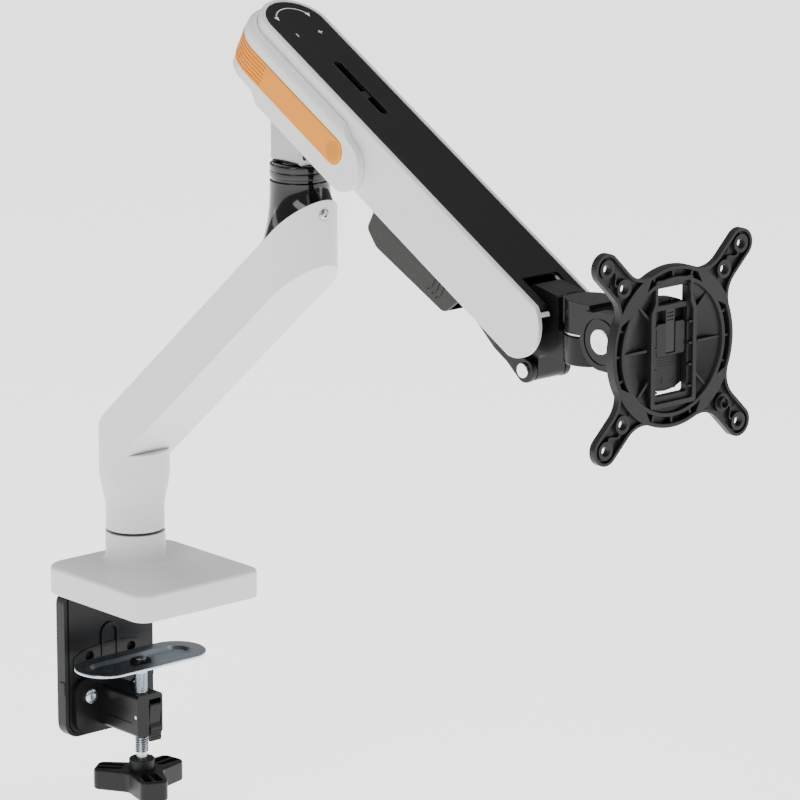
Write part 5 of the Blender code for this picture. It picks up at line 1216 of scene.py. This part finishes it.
class MONITORARM_OT_upper_arm(bpy.types.Operator):
    """Build the upper arm's shell, top cover, pivot housing and coloured band"""
    bl_idname = "monitor_arm.upper_arm"
    bl_label = "Build Upper Arm"

    def execute(self, context):
        build_shell()
        build_top_cover()
        build_housing()
        return {"FINISHED"}


class MONITORARM_OT_link(bpy.types.Operator):
    """Build the lower link and its cable clip"""
    bl_idname = "monitor_arm.link"
    bl_label = "Build Lower Link"

    def execute(self, context):
        build_link()
        build_clip()
        return {"FINISHED"}


class MONITORARM_OT_head(bpy.types.Operator):
    """Build the head bracket, the swivel block and the tilting fork"""
    bl_idname = "monitor_arm.head"
    bl_label = "Build Head"

    def execute(self, context):
        build_head()
        build_swivel()
        build_fork()
        return {"FINISHED"}


class MONITORARM_OT_plate(bpy.types.Operator):
    """Build the carrier, its latch and the monitor plate"""
    bl_idname = "monitor_arm.plate"
    bl_label = "Build Monitor Plate"

    def execute(self, context):
        build_carrier()
        build_plate()
        return {"FINISHED"}


class MONITORARM_OT_finishes(bpy.types.Operator):
    """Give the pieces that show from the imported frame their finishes"""
    bl_idname = "monitor_arm.finishes"
    bl_label = "Finish Remaining Pieces"

    def execute(self, context):
        finish_frame()
        return {"FINISHED"}


class MONITORARM_OT_stage(bpy.types.Operator):
    """Build the floor, the lights and the camera"""
    bl_idname = "monitor_arm.stage"
    bl_label = "Build Stage"

    def execute(self, context):
        build_stage()
        return {"FINISHED"}


OPERATORS = (
    MONITORARM_OT_base, MONITORARM_OT_clamp, MONITORARM_OT_lower_arm, MONITORARM_OT_yoke, MONITORARM_OT_upper_arm,
    MONITORARM_OT_link, MONITORARM_OT_head, MONITORARM_OT_plate, MONITORARM_OT_finishes, MONITORARM_OT_stage,
)


class MONITORARM_PT_panel(bpy.types.Panel):
    """Sizes, colours and building steps of the monitor arm"""
    bl_label = "Monitor Arm"
    bl_idname = "MONITORARM_PT_panel"
    bl_space_type = "VIEW_3D"
    bl_region_type = "UI"
    bl_category = "Monitor Arm"

    def draw(self, context):
        for group in (context.scene.monitor_arm_sizes, context.scene.monitor_arm_colours):
            box = self.layout.box()
            for name in group.__annotations__:
                box.prop(group, name)
        for operator in OPERATORS:
            self.layout.operator(operator.bl_idname)


CLASSES = (MonitorArmColours, MonitorArmSizes, *OPERATORS, MONITORARM_PT_panel)


def register():
    for item in CLASSES:
        bpy.utils.register_class(item)
    bpy.types.Scene.monitor_arm_colours = bpy.props.PointerProperty(type=MonitorArmColours)
    bpy.types.Scene.monitor_arm_sizes = bpy.props.PointerProperty(type=MonitorArmSizes)


def unregister():
    del bpy.types.Scene.monitor_arm_sizes
    del bpy.types.Scene.monitor_arm_colours
    for item in reversed(CLASSES):
        bpy.utils.unregister_class(item)


def main():
    register()
    for operator in OPERATORS:
        group, name = operator.bl_idname.split(".")
        getattr(getattr(bpy.ops, group), name)()


if __name__ == "__main__":
    main()
